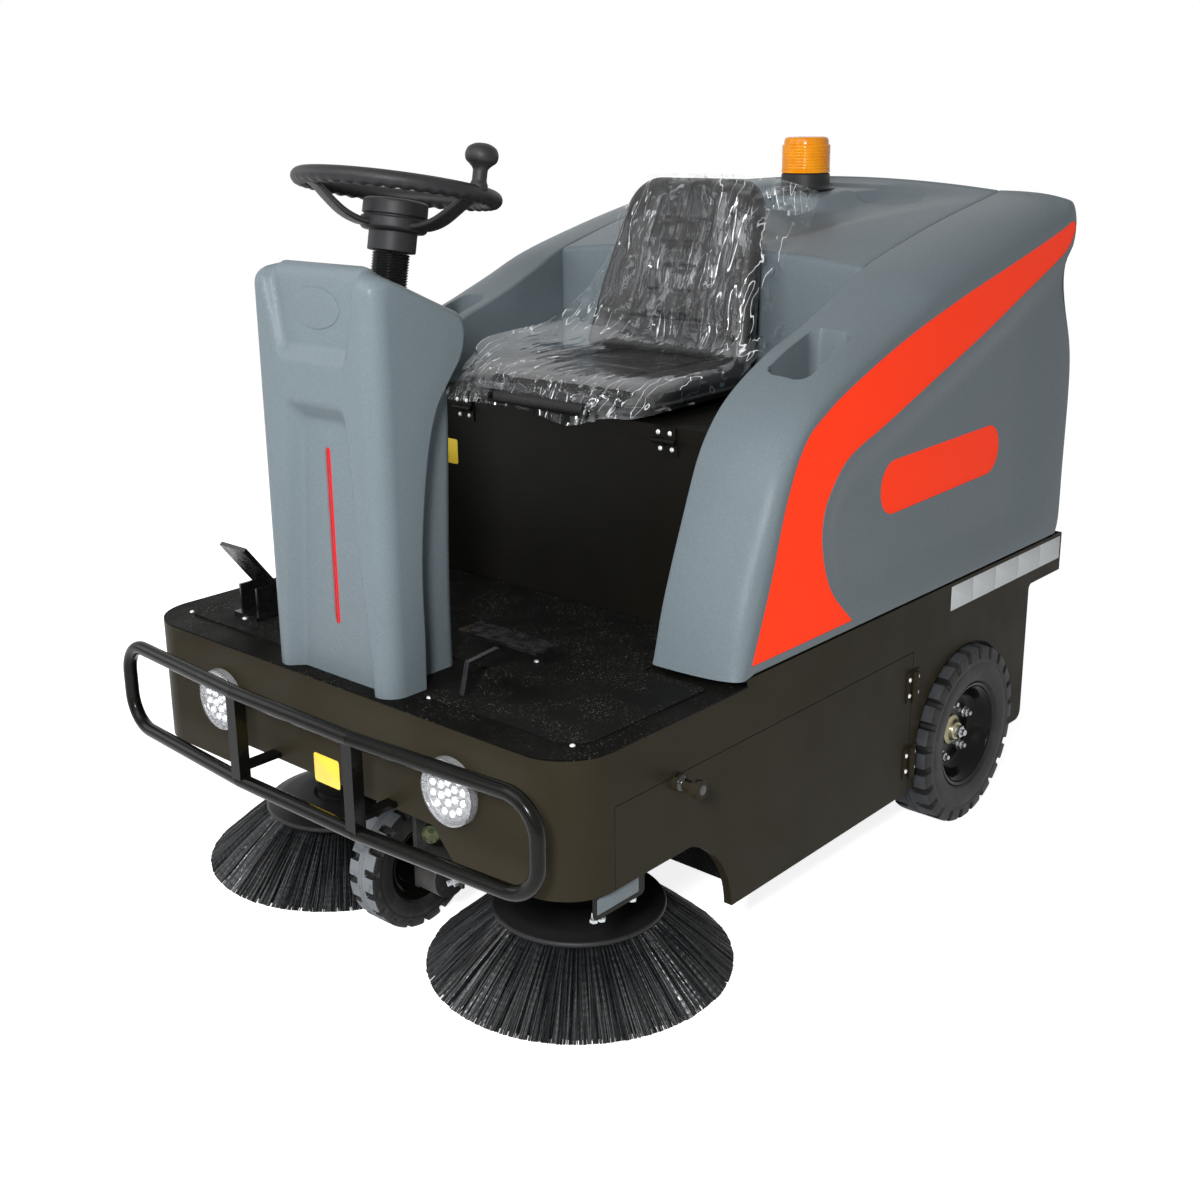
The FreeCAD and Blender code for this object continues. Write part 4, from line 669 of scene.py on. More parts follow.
def arm_point(i, x):
    """Where outline point i lies on the section at x, before the cup is pressed in."""
    is_top = ease((TOP_COUNT + 4 - i) / 8) if i > TOP_COUNT - 6 else 1.0
    share = edge_share(x, is_top)
    (a, b), (c, d) = inner_ring[i], outer_ring[i]
    y, z = a + (c - a) * share, b + (d - b) * share
    drop = LIP_ROUND * quarter(max(0.0, 1 - (x - SEAT_SIDE_X) / LIP_ROUND))
    return x, y - inner_normals[i][0] * drop, z - inner_normals[i][1] * drop


def pressed(x, y, z):
    """The cup recess: an upright wall with a rolled rim, down to a level floor."""
    away = cup_distance(x, y)
    if away > CUP_RIM or z < LEVEL_Z:
        return x, y, z
    if away > 0:
        return x, y, z - RIM_DROP * (1 - away / CUP_RIM) ** 2
    return x, y, (z - RIM_DROP) + (CUP_FLOOR - z + RIM_DROP) * ease(-away / CUP_WALL)


arm_rows = [[pressed(*arm_point(i, x)) for x in arm_columns] for i in range(len(inner_ring))]
print("arm skin:", len(arm_rows), "rows of", len(arm_columns))

# %% [markdown]
# The outer side of the arm carries the red band and the rounded red pill. Both are inlays in shallow seats
# with a grey lip, and the grey field below the band is dished. The side is therefore a flat mesh whose edges
# follow the band exactly, pushed in by a smooth dish; colours painted by a mask would have ragged edges.

# %% Outer side with its inlays
BAND_UPPER = [(-309, 534), (-284, 598), (-257, 671), (-219, 790), (-174, 875), (-120, 914), (-30, 955),
              (139, 1014), (338, 1068), (559, 1120), (719, 1160), (770, 1176), (785, 1172)]
BAND_LOWER = [(788, 1160), (772, 1134), (728, 1107), (570, 1046), (421, 989), (254, 931), (87, 873), (-22, 838),
              (-68, 806), (-105, 754), (-110, 689), (-79, 607), (-7, 534)]
band_upper = along(BAND_UPPER, evenly(110))
band_lower = along(BAND_LOWER, evenly(110))
band_foot = [(-7 - 302 * t, 534) for t in evenly(24)[1:-1]]
band_ring = band_upper + band_lower + band_foot
PILL_CORNERS = [(84, 798, 46), (530, 803, 46), (534, 706, 46), (84, 698, 46)]


def round_corners(corners, steps=9):
    """A closed ring of (u, v) whose corners (u, v, radius) are rounded."""
    ring = []
    for i, (u, v, radius) in enumerate(corners):
        here = Vector((u, v))
        back = (Vector(corners[i - 1][:2]) - here).normalized()
        ahead = (Vector(corners[(i + 1) % len(corners)][:2]) - here).normalized()
        half = back.angle(ahead) / 2
        centre = here + (back + ahead).normalized() * (radius / math.sin(half))
        first = here + back * (radius / math.tan(half)) - centre
        last = here + ahead * (radius / math.tan(half)) - centre
        for k in range(steps + 1):
            turn = first.lerp(last, k / steps).normalized() * radius
            ring.append(tuple(centre + turn))
    return ring


def round_box(low_u, high_u, low_v, high_v, radius, steps):
    """A closed ring around a rectangle with round corners."""
    return round_corners([(low_u, low_v, radius), (high_u, low_v, radius), (high_u, high_v, radius),
                          (low_u, high_v, radius)], steps)


pill_ring = round_corners(PILL_CORNERS)
PANEL_DISH, DISH_RUN, FIELD_SPACING = 11.0, 62.0, 11.0


def dish(y, z):
    """How far the grey field is pushed in at a point of the side."""
    to_lower = span_to((y, z), band_lower)
    if y < -110 or z >= 1160 or inside((y, z), band_ring) or span_to((y, z), band_upper) <= to_lower:
        return 0.0
    from_band = ease((to_lower - 3) / DISH_RUN)
    from_foot = ease((z - 527) / 90)
    from_tail = ease((800 - y) / 230) * (0.75 + 0.25 * ease((y - 100) / 400))
    return PANEL_DISH * from_band * from_foot * from_tail


def inlay_mesh(ring_points, holes, spacing):
    """Triangles of a flat field inside ring_points whose edges also follow the holes."""
    points, edges = [], []
    for ring in [ring_points] + holes:
        first = len(points)
        points += [Vector(p) for p in ring]
        edges += [(first + i, first + (i + 1) % len(ring)) for i in range(len(ring))]
    closed = [ring + ring[:1] for ring in [ring_points] + holes]
    (low_u, high_u), (low_v, high_v) = [(min(side), max(side)) for side in zip(*ring_points)]
    row = 0
    v = low_v + spacing / 2
    while v < high_v:
        u = low_u + spacing * (0.5 if row % 2 else 1.0)
        while u < high_u:
            if inside((u, v), ring_points) and min(span_to((u, v), ring) for ring in closed) > spacing * 0.5:
                points.append(Vector((u, v)))
            u += spacing
        v += spacing * 0.87
        row += 1
    found = delaunay_2d_cdt(points, edges, [], 0, 0.001)
    return found[0], found[2]


def middle_of(points, triangle):
    return sum((Vector(points[k]) for k in triangle), Vector((0, 0))) / 3


side_points, side_triangles = inlay_mesh(outer_ring, [band_ring, pill_ring], FIELD_SPACING)
fields = {"grey": [], "band": [], "pill": []}
for triangle in side_triangles:
    middle = middle_of(side_points, triangle)
    if inside(middle, outer_ring):
        kind = "band" if inside(middle, band_ring) else "pill" if inside(middle, pill_ring) else "grey"
        fields[kind].append(triangle)
print("triangles of the outer side:", {kind: len(found) for kind, found in fields.items()})

# %% [markdown]
# The grey field gets a lip that turns into the body, and the seat's side is closed with a flat mesh. The two
# inlays sit a little below the lip. Everything is modelled on the driver's left and mirrored to the right.

# %% Build the left arm and mirror it
LIP_DEPTH, INLAY_SUNK, INLAY_THICK, SEAT_SIDE_SPACING = 3.0, 1.1, 1.5, 40.0


def field_mesh(kind, sunk):
    """A bmesh of one field of the outer side."""
    bm = bmesh.new()
    used = {}
    for triangle in fields[kind]:
        for k in triangle:
            if k not in used:
                y, z = side_points[k]
                used[k] = bm.verts.new(((OUTER_X - dish(y, z) - sunk) * MM, y * MM, z * MM))
        bm.faces.new([used[k] for k in triangle])
    return bm


def push_in(grown, depth):
    """Moves the new vertices of an extrusion into the body."""
    for item in grown["geom"]:
        if isinstance(item, bmesh.types.BMVert):
            item.co.x -= depth * MM


outer_closed = outer_ring + outer_ring[:1]
arm = field_mesh("grey", 0.0)
lip_edges = [e for e in arm.edges if e.is_boundary
             and not any(span_to((v.co.y / MM, v.co.z / MM), outer_closed) < 0.4 for v in e.verts)]
push_in(bmesh.ops.extrude_edge_only(arm, edges=lip_edges), LIP_DEPTH)
skin(arm, arm_rows, loop_rows=True)
seat_side_ring = [row[0][1:] for row in arm_rows]
flat_points, flat_triangles = inlay_mesh(seat_side_ring, [], SEAT_SIDE_SPACING)
corner_verts = [arm.verts.new((SEAT_SIDE_X * MM, y * MM, z * MM)) for y, z in flat_points]
for triangle in flat_triangles:
    if inside(middle_of(flat_points, triangle), seat_side_ring):
        arm.faces.new([corner_verts[k] for k in triangle])
left_arm = solid_piece("arm_cover_left", arm, moulded_grey, "chassis", "grey_moulding", "cover_arm_left",
                       merge=0.06)
mirrored(left_arm)
for kind in ("band", "pill"):
    inlay = field_mesh(kind, INLAY_SUNK)
    push_in(bmesh.ops.extrude_face_region(inlay, geom=list(inlay.faces)), INLAY_THICK)
    mirrored(solid_piece("side_" + kind + "_left", inlay, band_red, "chassis"))
print("arm faces:", len(left_arm.data.polygons))

# %% [markdown]
# The hood closes the space between the arms. Its front wall is the back of the seat's recess, its top is
# crowned, and it carries the raised foot of the beacon with a long oval pocket behind it. It is one skin
# of rows from the wall's foot to the tail; the foot and the pocket are small changes of height on it.

# %% Hood between the arms
WALL_Y, WALL_TOP, HOOD_CROWN, WALL_ROUND = 247.0, 1116, 22.0, 9.0
hood_columns = sorted({round(s * v, 2) for s in (-1, 1) for v in
                       [0, 376, 375.6, 374.6, 372] + [8 * i for i in range(1, 46)]})
hood_top = along([(WALL_Y, WALL_TOP)] + [p for p in ARM_INNER_TOP if p[0] > WALL_Y + 1], evenly(92))
hood_rear = along(ARM_INNER_REAR, evenly(50))[1:]
hood_line = [(WALL_Y, ARM_FOOT + (WALL_TOP - WALL_ROUND - ARM_FOOT) * t) for t in evenly(24)]
for a in evenly(6, 0, math.pi / 2)[1:]:
    ahead, below = WALL_ROUND * (1 - math.cos(a)), WALL_ROUND * (1 - math.sin(a))
    hood_line.append((WALL_Y + ahead, WALL_TOP - below + 0.35 * ahead))
hood_line += [p for p in hood_top if p[0] > WALL_Y + WALL_ROUND + 1] + hood_rear
hood_normals = normals(hood_line[:1] + hood_line[:-1], hood_line[1:] + hood_line[-1:])


DIP_DEPTH, FOOT_HEIGHT = 17, 7
POCKET_HALF, POCKET_Y, POCKET_ROUND, POCKET_DEPTH = 215, 672, 40, 6


def hood_relief(x, y):
    """Height added to the hood: the beacon's foot, the dip before it and the oval pocket."""
    across = abs(x)
    foot_half = 66 + 0.42 * max(0.0, y - 556)
    raised = ease((y - 528) / 34) * (1 - ease((across - foot_half) / 46))
    reach = 120 + 0.5 * max(0.0, y - 262)
    dip = (1 - ease((across - reach * 0.55) / (reach * 0.6))) * ease((y - 262) / 120) * (1 - ease((y - 640) / 110))
    pocket = math.hypot(max(0.0, across - POCKET_HALF), y - POCKET_Y) - POCKET_ROUND
    return (-DIP_DEPTH * dip * (1 - raised) + FOOT_HEIGHT * raised * (1 - ease((y - 640) / 90))
            - POCKET_DEPTH * ease(-pocket / 9))


def hood_point(k, x):
    """A point of the hood at x on its line k: crowned in the middle, with a lip at both sides."""
    y, z = hood_line[k]
    crown = HOOD_CROWN * (1 - (x / SEAT_SIDE_X) ** 2)
    if k >= len(hood_line) - len(hood_rear):
        crown *= max(0.0, (z - 1015) / 218)
    elif y > WALL_Y + WALL_ROUND:
        z += hood_relief(x, y)
    else:
        crown *= max(0.0, (z - 700) / 416) ** 2
    drop = LIP_ROUND * quarter(max(0.0, 1 - (SEAT_SIDE_X - abs(x)) / LIP_ROUND)) * 0.9
    return x, y - hood_normals[k][0] * drop, z + crown - hood_normals[k][1] * drop


hood = bmesh.new()
hood_verts = skin(hood, [[hood_point(k, x) for x in hood_columns] for k in range(len(hood_line))])
hood_foot = list(zip(hood_verts[0], hood_verts[-1]))
for low, high in zip(hood_foot, hood_foot[1:]):
    hood.faces.new((low[0], high[0], high[1], low[1]))
for column in (0, -1):
    hood.faces.new([row[column] for row in hood_verts])
hood_cover = solid_piece("hood_cover", hood, moulded_grey, "chassis", "grey_moulding", "cover_hood")
print("hood faces:", len(hood_cover.data.polygons))

# %% [markdown]
# Many small parts of a machine are turned on a lathe or swept along a line: hubs, knobs, screws, tubes. So
# two more helpers make a closed turned form from a half outline, and a bar of any outline along a path.
# Both take a function that places a local point, so the same code serves upright and leaning parts.

# %% Turned and swept forms
CORNER_STEPS = 4


def lathe(bm, outline, steps, put, ripple=None):
    """Turns an outline of (radius, height) about the local height axis. Ends at radius 0 are closed."""
    rings = []
    for radius, height in outline:
        if radius < 0.01:
            rings.append([bm.verts.new([v * MM for v in put(0.0, 0.0, height)])])
            continue
        ring = []
        for k in range(steps):
            turn = 2 * math.pi * k / steps
            r = radius + (ripple(turn, height) if ripple else 0.0)
            ring.append(bm.verts.new([v * MM for v in put(r * math.cos(turn), r * math.sin(turn), height)]))
        rings.append(ring)
    for low, high in zip(rings, rings[1:]):
        for k in range(steps):
            j = (k + 1) % steps
            if len(low) == 1:
                bm.faces.new((low[0], high[j], high[k]))
            elif len(high) == 1:
                bm.faces.new((low[k], low[j], high[0]))
            else:
                bm.faces.new((low[k], low[j], high[j], high[k]))
    return rings


def turned(bm, corners, steps, put, ripple=None):
    """Turns a half outline whose corners (radius, height, rounding) are rounded first."""
    line = [corners[0][:2]]
    for (a, b, _), (u, v, rounding), (e, f, _) in zip(corners, corners[1:], corners[2:]):
        if rounding <= 0:
            line.append((u, v))
            continue
        back, ahead = math.hypot(a - u, b - v), math.hypot(e - u, f - v)
        near = min(rounding, back * 0.45, ahead * 0.45)
        start = (u + (a - u) / back * near, v + (b - v) / back * near)
        end = (u + (e - u) / ahead * near, v + (f - v) / ahead * near)
        for t in evenly(CORNER_STEPS + 1):
            line.append(tuple(s * (1 - t) ** 2 + 2 * c * t * (1 - t) + g * t * t
                              for s, c, g in zip(start, (u, v), end)))
    line.append(corners[-1][:2])
    return lathe(bm, line, steps, put, ripple)


def side_and_rise(ahead, up):
    """Two directions square to the way ahead; the second leans as far as it can to up."""
    side = ahead.cross(Vector(up)).normalized()
    return side, side.cross(ahead)


def sweep(bm, path, outline, up=(0, 0, 1), scales=None):
    """Carries a closed outline of (across, up) along a path of points; the ends are capped."""
    rings = []
    for i, here in enumerate(path):
        before, after = path[max(i - 1, 0)], path[min(i + 1, len(path) - 1)]
        side, rise = side_and_rise((Vector(after) - Vector(before)).normalized(), up)
        across, tall = scales[i] if scales else (1, 1)
        rings.append([Vector(here) + side * (u * across) + rise * (v * tall) for u, v in outline])
    skin(bm, rings, loop_columns=True, capped=True)


def upright(x, y):
    """Places local points on an upright axis through (x, y)."""
    return lambda a, b, h: (x + a, y + b, h)


def circle(radius, steps):
    """A closed ring of points around (0, 0)."""
    return [(radius * math.cos(2 * math.pi * k / steps), radius * math.sin(2 * math.pi * k / steps))
            for k in range(steps)]


print("a ring of 4 points:", [(round(u, 3), round(v, 3)) for u, v in circle(1, 4)])

# %% [markdown]
# The steering tower is one tall moulding: a shell with softly rounded front edges, whose back is cut away in
# an S, and a narrower column behind it. A box with a bevel can't take that S, so the shell is again a skin
# between two outlines, one in the middle of the machine and one at its side. The badge field and the long
# channel are depths added to the front rows. The badge is left bare, apart from its faint oval.

# %% Steering tower
TOWER_FOOT, TOWER_HALF, TOWER_EDGE, TOWER_FRONT = 504.0, 151.0, 34.0, -737.0
MIDDLE_TOP = [(-737, 1146), (-735.5, 1163), (-729, 1175), (-716, 1179), (-696, 1174), (-661, 1159),
              (-619, 1139), (-580, 1121), (-557, 1106), (-547, 1090), (-545, 1070)]
SIDE_TOP = [(-703, 1122), (-702, 1133), (-698, 1142), (-690, 1146), (-677, 1144), (-648, 1131), (-612, 1115),
            (-582, 1101), (-566, 1090), (-557, 1078), (-553, 1062)]
MIDDLE_BACK = [(-545, 1070), (-554, 1032), (-588, 988), (-611, 953), (-631, 888), (-646, 793), (-654, 695),
               (-654, 592), (-656, 504)]
SIDE_BACK = [(y - 7, z) for y, z in MIDDLE_BACK]
SIDE_BACK[0] = SIDE_TOP[-1]
FRONT_ROWS, TOWER_TOP_ROWS, BACK_ROWS = 132, 40, 60
CHANNEL_TOP, CHANNEL_DEPTH, CHANNEL_WALL, CHANNEL_HEAD = 966.0, 23.0, 21.0, 32.0
CHANNEL_HALF, CHANNEL_NARROWS = 112.0, 38.0
BADGE_FOOT, BADGE_DEPTH, BADGE_WALL, BADGE_SILL = 1030.0, 15.0, 12.0, 22.0
BADGE_HALF, BADGE_FLARE = 84.0, 0.23
STRIPE_LOW, STRIPE_HIGH, STRIPE_HALF, SLOT_DEPTH = 603.0, 886.0, 5.5, 2.2
SLOPE_SOFT, CORNER_SOFT = 0.13, 0.7  # how soft a wall's ends and a field's corners are moulded


def ramp(t):
    """0 to 1 in a straight slope with softened ends."""
    if t <= -SLOPE_SOFT or t >= 1 + SLOPE_SOFT:
        return 0.0 if t < 0 else 1.0
    if t < SLOPE_SOFT:
        return (t + SLOPE_SOFT) ** 2 / (4 * SLOPE_SOFT)
    if t > 1 - SLOPE_SOFT:
        return 1 - (1 + SLOPE_SOFT - t) ** 2 / (4 * SLOPE_SOFT)
    return t


def soft_min(a, b):
    """The smaller of two shares, rounded where they meet, as a moulded corner is."""
    gap = max(CORNER_SOFT - abs(a - b), 0.0) / CORNER_SOFT
    return min(a, b) - gap * gap * CORNER_SOFT * 0.25


def front_depth(x, z):
    """How far the channel, the badge field and the stripe's slot sink the tower's front."""
    across = abs(x)
    channel_half = CHANNEL_HALF - (z - TOWER_FOOT) * CHANNEL_NARROWS / (CHANNEL_TOP - TOWER_FOOT)
    channel = ramp(soft_min((channel_half - across) / CHANNEL_WALL, (CHANNEL_TOP - z) / CHANNEL_HEAD))
    badge_half = BADGE_HALF + (z - BADGE_FOOT) * BADGE_FLARE
    badge = ramp(soft_min((badge_half - across) / BADGE_WALL, (z - BADGE_FOOT) / BADGE_SILL))
    slot_end = max(STRIPE_LOW - z, z - STRIPE_HIGH, 0.0)
    slot = 1 - ease((math.hypot(across, slot_end) - STRIPE_HALF - 0.4) / 1.4)
    return channel * CHANNEL_DEPTH + badge * (BADGE_DEPTH + 0.03 * max(0.0, z - 1060)) + slot * SLOT_DEPTH


def tower_ring(top, back, front_y):
    """A closed side outline that runs up the front, over the top and down the back."""
    front = [(front_y, TOWER_FOOT + (top[0][1] - TOWER_FOOT) * t) for t in evenly(FRONT_ROWS)[:-1]]
    return front + along(top, evenly(TOWER_TOP_ROWS)) + along(back, evenly(BACK_ROWS))[1:]


middle_ring = tower_ring(MIDDLE_TOP, MIDDLE_BACK, TOWER_FRONT)
side_ring = tower_ring(SIDE_TOP, SIDE_BACK, TOWER_FRONT + TOWER_EDGE)


def rounding(x, radius):
    """Share of the way to the side outline at x for an edge of the given radius."""
    return quarter(max(0.0, (abs(x) - TOWER_HALF + radius) / radius))


def tower_point(i, x):
    """Point i of the tower's section at x, with the depths of the front pressed in."""
    (a, b), (p, q) = middle_ring[i], side_ring[i]
    front = 1 - ease((i - FRONT_ROWS + 1) / 7)
    rear = ease((i - FRONT_ROWS - TOWER_TOP_ROWS + 12) / 9)
    chamfer = 0.62 * max(0.0, (abs(x) - 94) / (TOWER_HALF - 94)) + 0.38 * rounding(x, 12)
    share = front * rounding(x, TOWER_EDGE) + (1 - front) * ((1 - rear) * chamfer + rear * rounding(x, 9))
    y, z = a + (p - a) * share, b + (q - b) * share
    if i < FRONT_ROWS + 12:
        y += front_depth(x, z) * (1 - ease((i - FRONT_ROWS - 4) / 8))
    return x, y, z


half_columns = [0, 2.2, 4.2, 5.4, 6.2, 7.0, 8.2, 10.5] + [14 + 3.4 * k for k in range(30)]
half_columns += [116, 120, 124, 128, 132, 135.5, 139, 142, 144.5, 146.5, 148.2, 149.5, 150.4, 150.85, 151]
tower_columns = sorted({round(s * v, 2) for s in (-1, 1) for v in half_columns})
shell = bmesh.new()
tower_points = [[tower_point(i, x) for x in tower_columns] for i in range(len(middle_ring))]
shell_rows = skin(shell, tower_points, loop_rows=True)
for column in (0, -1):
    shell.faces.new([row[column] for row in shell_rows])
tower_shell = solid_piece("tower_shell", shell, moulded_grey, "chassis", "grey_moulding", "steering_tower")
print("tower shell:", len(tower_shell.data.polygons), "faces")

# %% [markdown]
# Behind the shell a plain column carries the steering shaft; its rear edge leans a little, so it is a stack of
# round-cornered sections. The stripe is a thin red strip in the channel and the oval a low dome in the badge
# field. Both follow the tower's front, which the same depth function gives them.

# %% Column behind the shell, red stripe and oval
COLUMN_HALF, COLUMN_ROUND, COLUMN_FRONT = 104.0, 22.0, -698.0
COLUMN_REAR = [(-546, 504), (-547, 600), (-545, 700), (-540, 815), (-536, 930), (-540, 1000), (-549, 1056)]


def column_section(rear_y, z):
    """The column's outline at a height; its front corners hide in the shell."""
    corners = [(-COLUMN_HALF, COLUMN_FRONT, 4), (COLUMN_HALF, COLUMN_FRONT, 4),
               (COLUMN_HALF, rear_y, COLUMN_ROUND), (-COLUMN_HALF, rear_y, COLUMN_ROUND)]
    return [(x, y, z) for x, y in round_corners(corners, 7)]


column = bmesh.new()
column_rows = skin(column, [column_section(y, z) for y, z in along(COLUMN_REAR, evenly(40))], loop_columns=True)
column.faces.new(column_rows[0])
column.faces.new(column_rows[-1])
solid_piece("tower_column", column, moulded_grey, "chassis", "grey_moulding")

stripe = bmesh.new()
stripe_face = TOWER_FRONT + CHANNEL_DEPTH + 1.0
stripe_ring = [(STRIPE_HALF * math.cos(a), STRIPE_HIGH + STRIPE_HALF * math.sin(a))
               for a in evenly(12, 0, math.pi)]
stripe_ring += [(-u, STRIPE_LOW + STRIPE_HIGH - v) for u, v in stripe_ring]
skin(stripe, [[(u * k, stripe_face + d, v) for u, v in stripe_ring]
              for k, d in ((0.2, -0.7), (0.6, -0.5), (0.88, -0.1), (1.0, 0.7), (1.0, 2.4))], loop_columns=True)
solid_piece("tower_stripe", stripe, stripe_red, "chassis")

OVAL_CENTRE_Z, OVAL_HALF_X, OVAL_HALF_Z = 1112.0, 58.0, 32.0
oval = bmesh.new()
oval_rows = []
for k, proud in ((1.0, -3.0), (1.0, 0.7), (0.988, 1.35), (0.965, 1.5), (0.5, 1.6), (0.02, 1.7)):
    row = []
    for a in evenly(73, 0, 2 * math.pi)[:-1]:
        z = OVAL_CENTRE_Z + OVAL_HALF_Z * k * math.sin(a)
        row.append((OVAL_HALF_X * k * math.cos(a), TOWER_FRONT + front_depth(0, z) - proud, z))
    oval_rows.append(row)
skin(oval, oval_rows, loop_columns=True)
solid_piece("tower_oval", oval, moulded_grey, "chassis", "grey_moulding")
print("tower column, stripe and oval made")

# %% [markdown]
# The steering wheel is moulded in soft black plastic. Its grip is smooth above and scalloped below, for the
# fingers, so its ring is not a plain torus: the lower half of each section shrinks and grows around the
# wheel. The hub has two tiers with a seam; three flat spokes rise from the lower tier to the grip, and the
# spinner knob stands on the grip. Everything here turns with the wheel, so it rides on the steering body.

# %% Steering wheel and its boot
WHEEL_Y, WHEEL_Z, WHEEL_TILT = -542.0, 1283.0, math.radians(11)
GRIP_RING, GRIP_RADIUS, SCALLOPS, SCALLOP_DEPTH = 154.0, 14.5, 44, 2.6
GRIP_STEPS, SPOKE_STEPS = 20, 18


def on_wheel(across, back, up):
    """A point of the wheel's own frame, in millimetres."""
    return (across, WHEEL_Y + back * math.cos(WHEEL_TILT) + up * math.sin(WHEEL_TILT),
            WHEEL_Z - back * math.sin(WHEEL_TILT) + up * math.cos(WHEEL_TILT))


wheel = bmesh.new()
grip_rows = []
for k in range(SCALLOPS * 6):
    turn = 2 * math.pi * k / (SCALLOPS * 6)
    row = []
    for j in range(GRIP_STEPS):
        around = 2 * math.pi * j / GRIP_STEPS
        below = max(0.0, -math.sin(around)) ** 1.3
        size = GRIP_RADIUS - SCALLOP_DEPTH * below * (0.5 + 0.5 * math.cos(SCALLOPS * turn))
        r = GRIP_RING + size * math.cos(around)
        row.append(on_wheel(r * math.cos(turn), r * math.sin(turn), size * 0.94 * math.sin(around)))
    grip_rows.append(row)
skin(wheel, grip_rows, loop_rows=True, loop_columns=True)
hub_outline = [(0, -22, 0), (30, -21, 3), (44, -17, 4), (52, -20, 3), (52.5, -42, 1.2), (49.5, -43.5, 0.5),
               (49.5, -45.5, 0.5), (54, -47, 1.5), (54, -63, 3), (49, -68, 3), (39, -68, 1), (39, -99, 2),
               (33, -100, 1), (0, -100, 0)]
turned(wheel, hub_outline, 64, on_wheel)
SPOKE_PATH = [(34, -58), (60, -57), (88, -47), (114, -29), (134, -13), (150, -5)]
spoke_sizes = [(1.05 - 0.25 * ease(t), 1 - 0.25 * t) for t in evenly(SPOKE_STEPS)]
wheel_up = Vector(on_wheel(0, 0, 1)) - Vector(on_wheel(0, 0, 0))
for angle in (10, 130, 250):
    a = math.radians(angle)
    path = [on_wheel(r * math.cos(a), r * math.sin(a), u) for r, u in along(SPOKE_PATH, evenly(SPOKE_STEPS))]
    sweep(wheel, path, round_box(-22, 22, -5, 5, 4, 4), up=wheel_up, scales=spoke_sizes)
SPINNER_TURN = math.radians(12)
spinner_x, spinner_back = GRIP_RING * math.cos(SPINNER_TURN), GRIP_RING * math.sin(SPINNER_TURN)
spinner_outline = [(0, 6, 0), (15, 6, 2), (14, 15, 2), (11.5, 20, 3), (11.5, 38, 4), (17, 44, 5), (25, 50, 7),
                   (26.5, 60, 8), (23, 70, 8), (12, 76.5, 6), (0, 77.5, 0)]
turned(wheel, spinner_outline, 40, lambda a, b, h: on_wheel(spinner_x + a, spinner_back + b, h))
solid_piece("steering_wheel_grip", wheel, soft_black, "steering", "black_plastic", "steering_wheel")

boot = bmesh.new()
RIB_COUNT, BOOT_LOW, BOOT_HIGH = 17, -176.0, -101.5
rib_height = (BOOT_HIGH - BOOT_LOW) / RIB_COUNT
boot_outline = [(0, BOOT_LOW)]
for k in range(RIB_COUNT):
    base = BOOT_LOW + k * rib_height
    boot_outline += [(28.2, base), (29.6, base + rib_height * 0.25), (30.8, base + rib_height * 0.5),
                     (29.6, base + rib_height * 0.75)]
boot_outline += [(28.2, BOOT_HIGH), (0, BOOT_HIGH)]
lathe(boot, boot_outline, 48, on_wheel)
solid_piece("steering_bellows", boot, pedal_black, "chassis", "black_plastic", "steering_boot", smooth=70)
print("steering wheel and bellows made")

# %% [markdown]
# A side brush is a black dome with a ring of tufts. Each tuft is a bunch of stiff nylon strands, so the brush
# is built strand by strand: thin three-sided bars that leave the disc steeply and spread to the floor. Hair
# particles could do this too, but a mesh keeps its shape in every program that opens the model. A dark cone
# behind the strands stands for the ones nobody can count.

# %% Strands and tufts
BRUSH_X, BRUSH_MIDDLE_Y = 312.0, -480.0
DISC_FOOT, BRUSH_LIMIT = 100.5, 266.5  # height of the disc's underside, and the radius no strand may pass


def strand(bm, line, radius, twist):
    """One stiff bristle through points, cut off square at its end."""
    rings = []
    for i, here in enumerate(line):
        ahead = (Vector(line[min(i + 1, len(line) - 1)]) - Vector(line[max(i - 1, 0)])).normalized()
        side, rise = side_and_rise(ahead, (0.02, 0.01, 1))
        corners = [side * math.cos(twist + t) + rise * math.sin(twist + t) for t in (0.0, 2.094, 4.189)]
        rings.append([bm.verts.new((Vector(here) + corner * radius) * MM) for corner in corners])
    for low, high in zip(rings, rings[1:]):
        for k in range(3):
            bm.faces.new((low[k], low[(k + 1) % 3], high[(k + 1) % 3], high[k]))
    bm.faces.new(rings[-1])


def side_brush(bm, tufts, strands, foot, reach, seed):
    """Tufts around the disc; foot and reach are the ranges of radius at the disc and on the floor."""
    rng = random.Random(seed)
    for tuft in range(tufts):
        middle = 2 * math.pi * (tuft + 0.3 * rng.random()) / tufts
        lean = rng.gauss(0, 0.003)
        tuft_reach = rng.gauss(0, 0.5)
        for _ in range(strands):
            start_turn = middle + rng.gauss(0, 0.35) / tufts * 2 * math.pi * 0.3
            end_turn = middle + lean + rng.uniform(-0.56, 0.56) / tufts * 2 * math.pi
            start = rng.uniform(*foot)
            end = min(rng.uniform(*reach) + tuft_reach, BRUSH_LIMIT)
            bow, sway, drop = rng.gauss(1.5, 0.7), rng.gauss(0, 0.002), rng.uniform(1.4, 2.2)
            line = []
            for t in (0.0, 0.18, 0.38, 0.58, 0.78, 1.0):
                turn = start_turn + (end_turn - start_turn) * t + sway * math.sin(math.pi * t)
                r = start + (end - start) * t
                z = DISC_FOOT + (drop - DISC_FOOT) * t + bow * math.sin(math.pi * t) * (0.3 if t > 0.7 else 1.0)
                line.append((BRUSH_X + r * math.cos(turn), BRUSH_MIDDLE_Y + r * math.sin(turn), min(z, DISC_FOOT)))
            strand(bm, line, rng.uniform(0.8, 1.05), rng.uniform(0, 2))


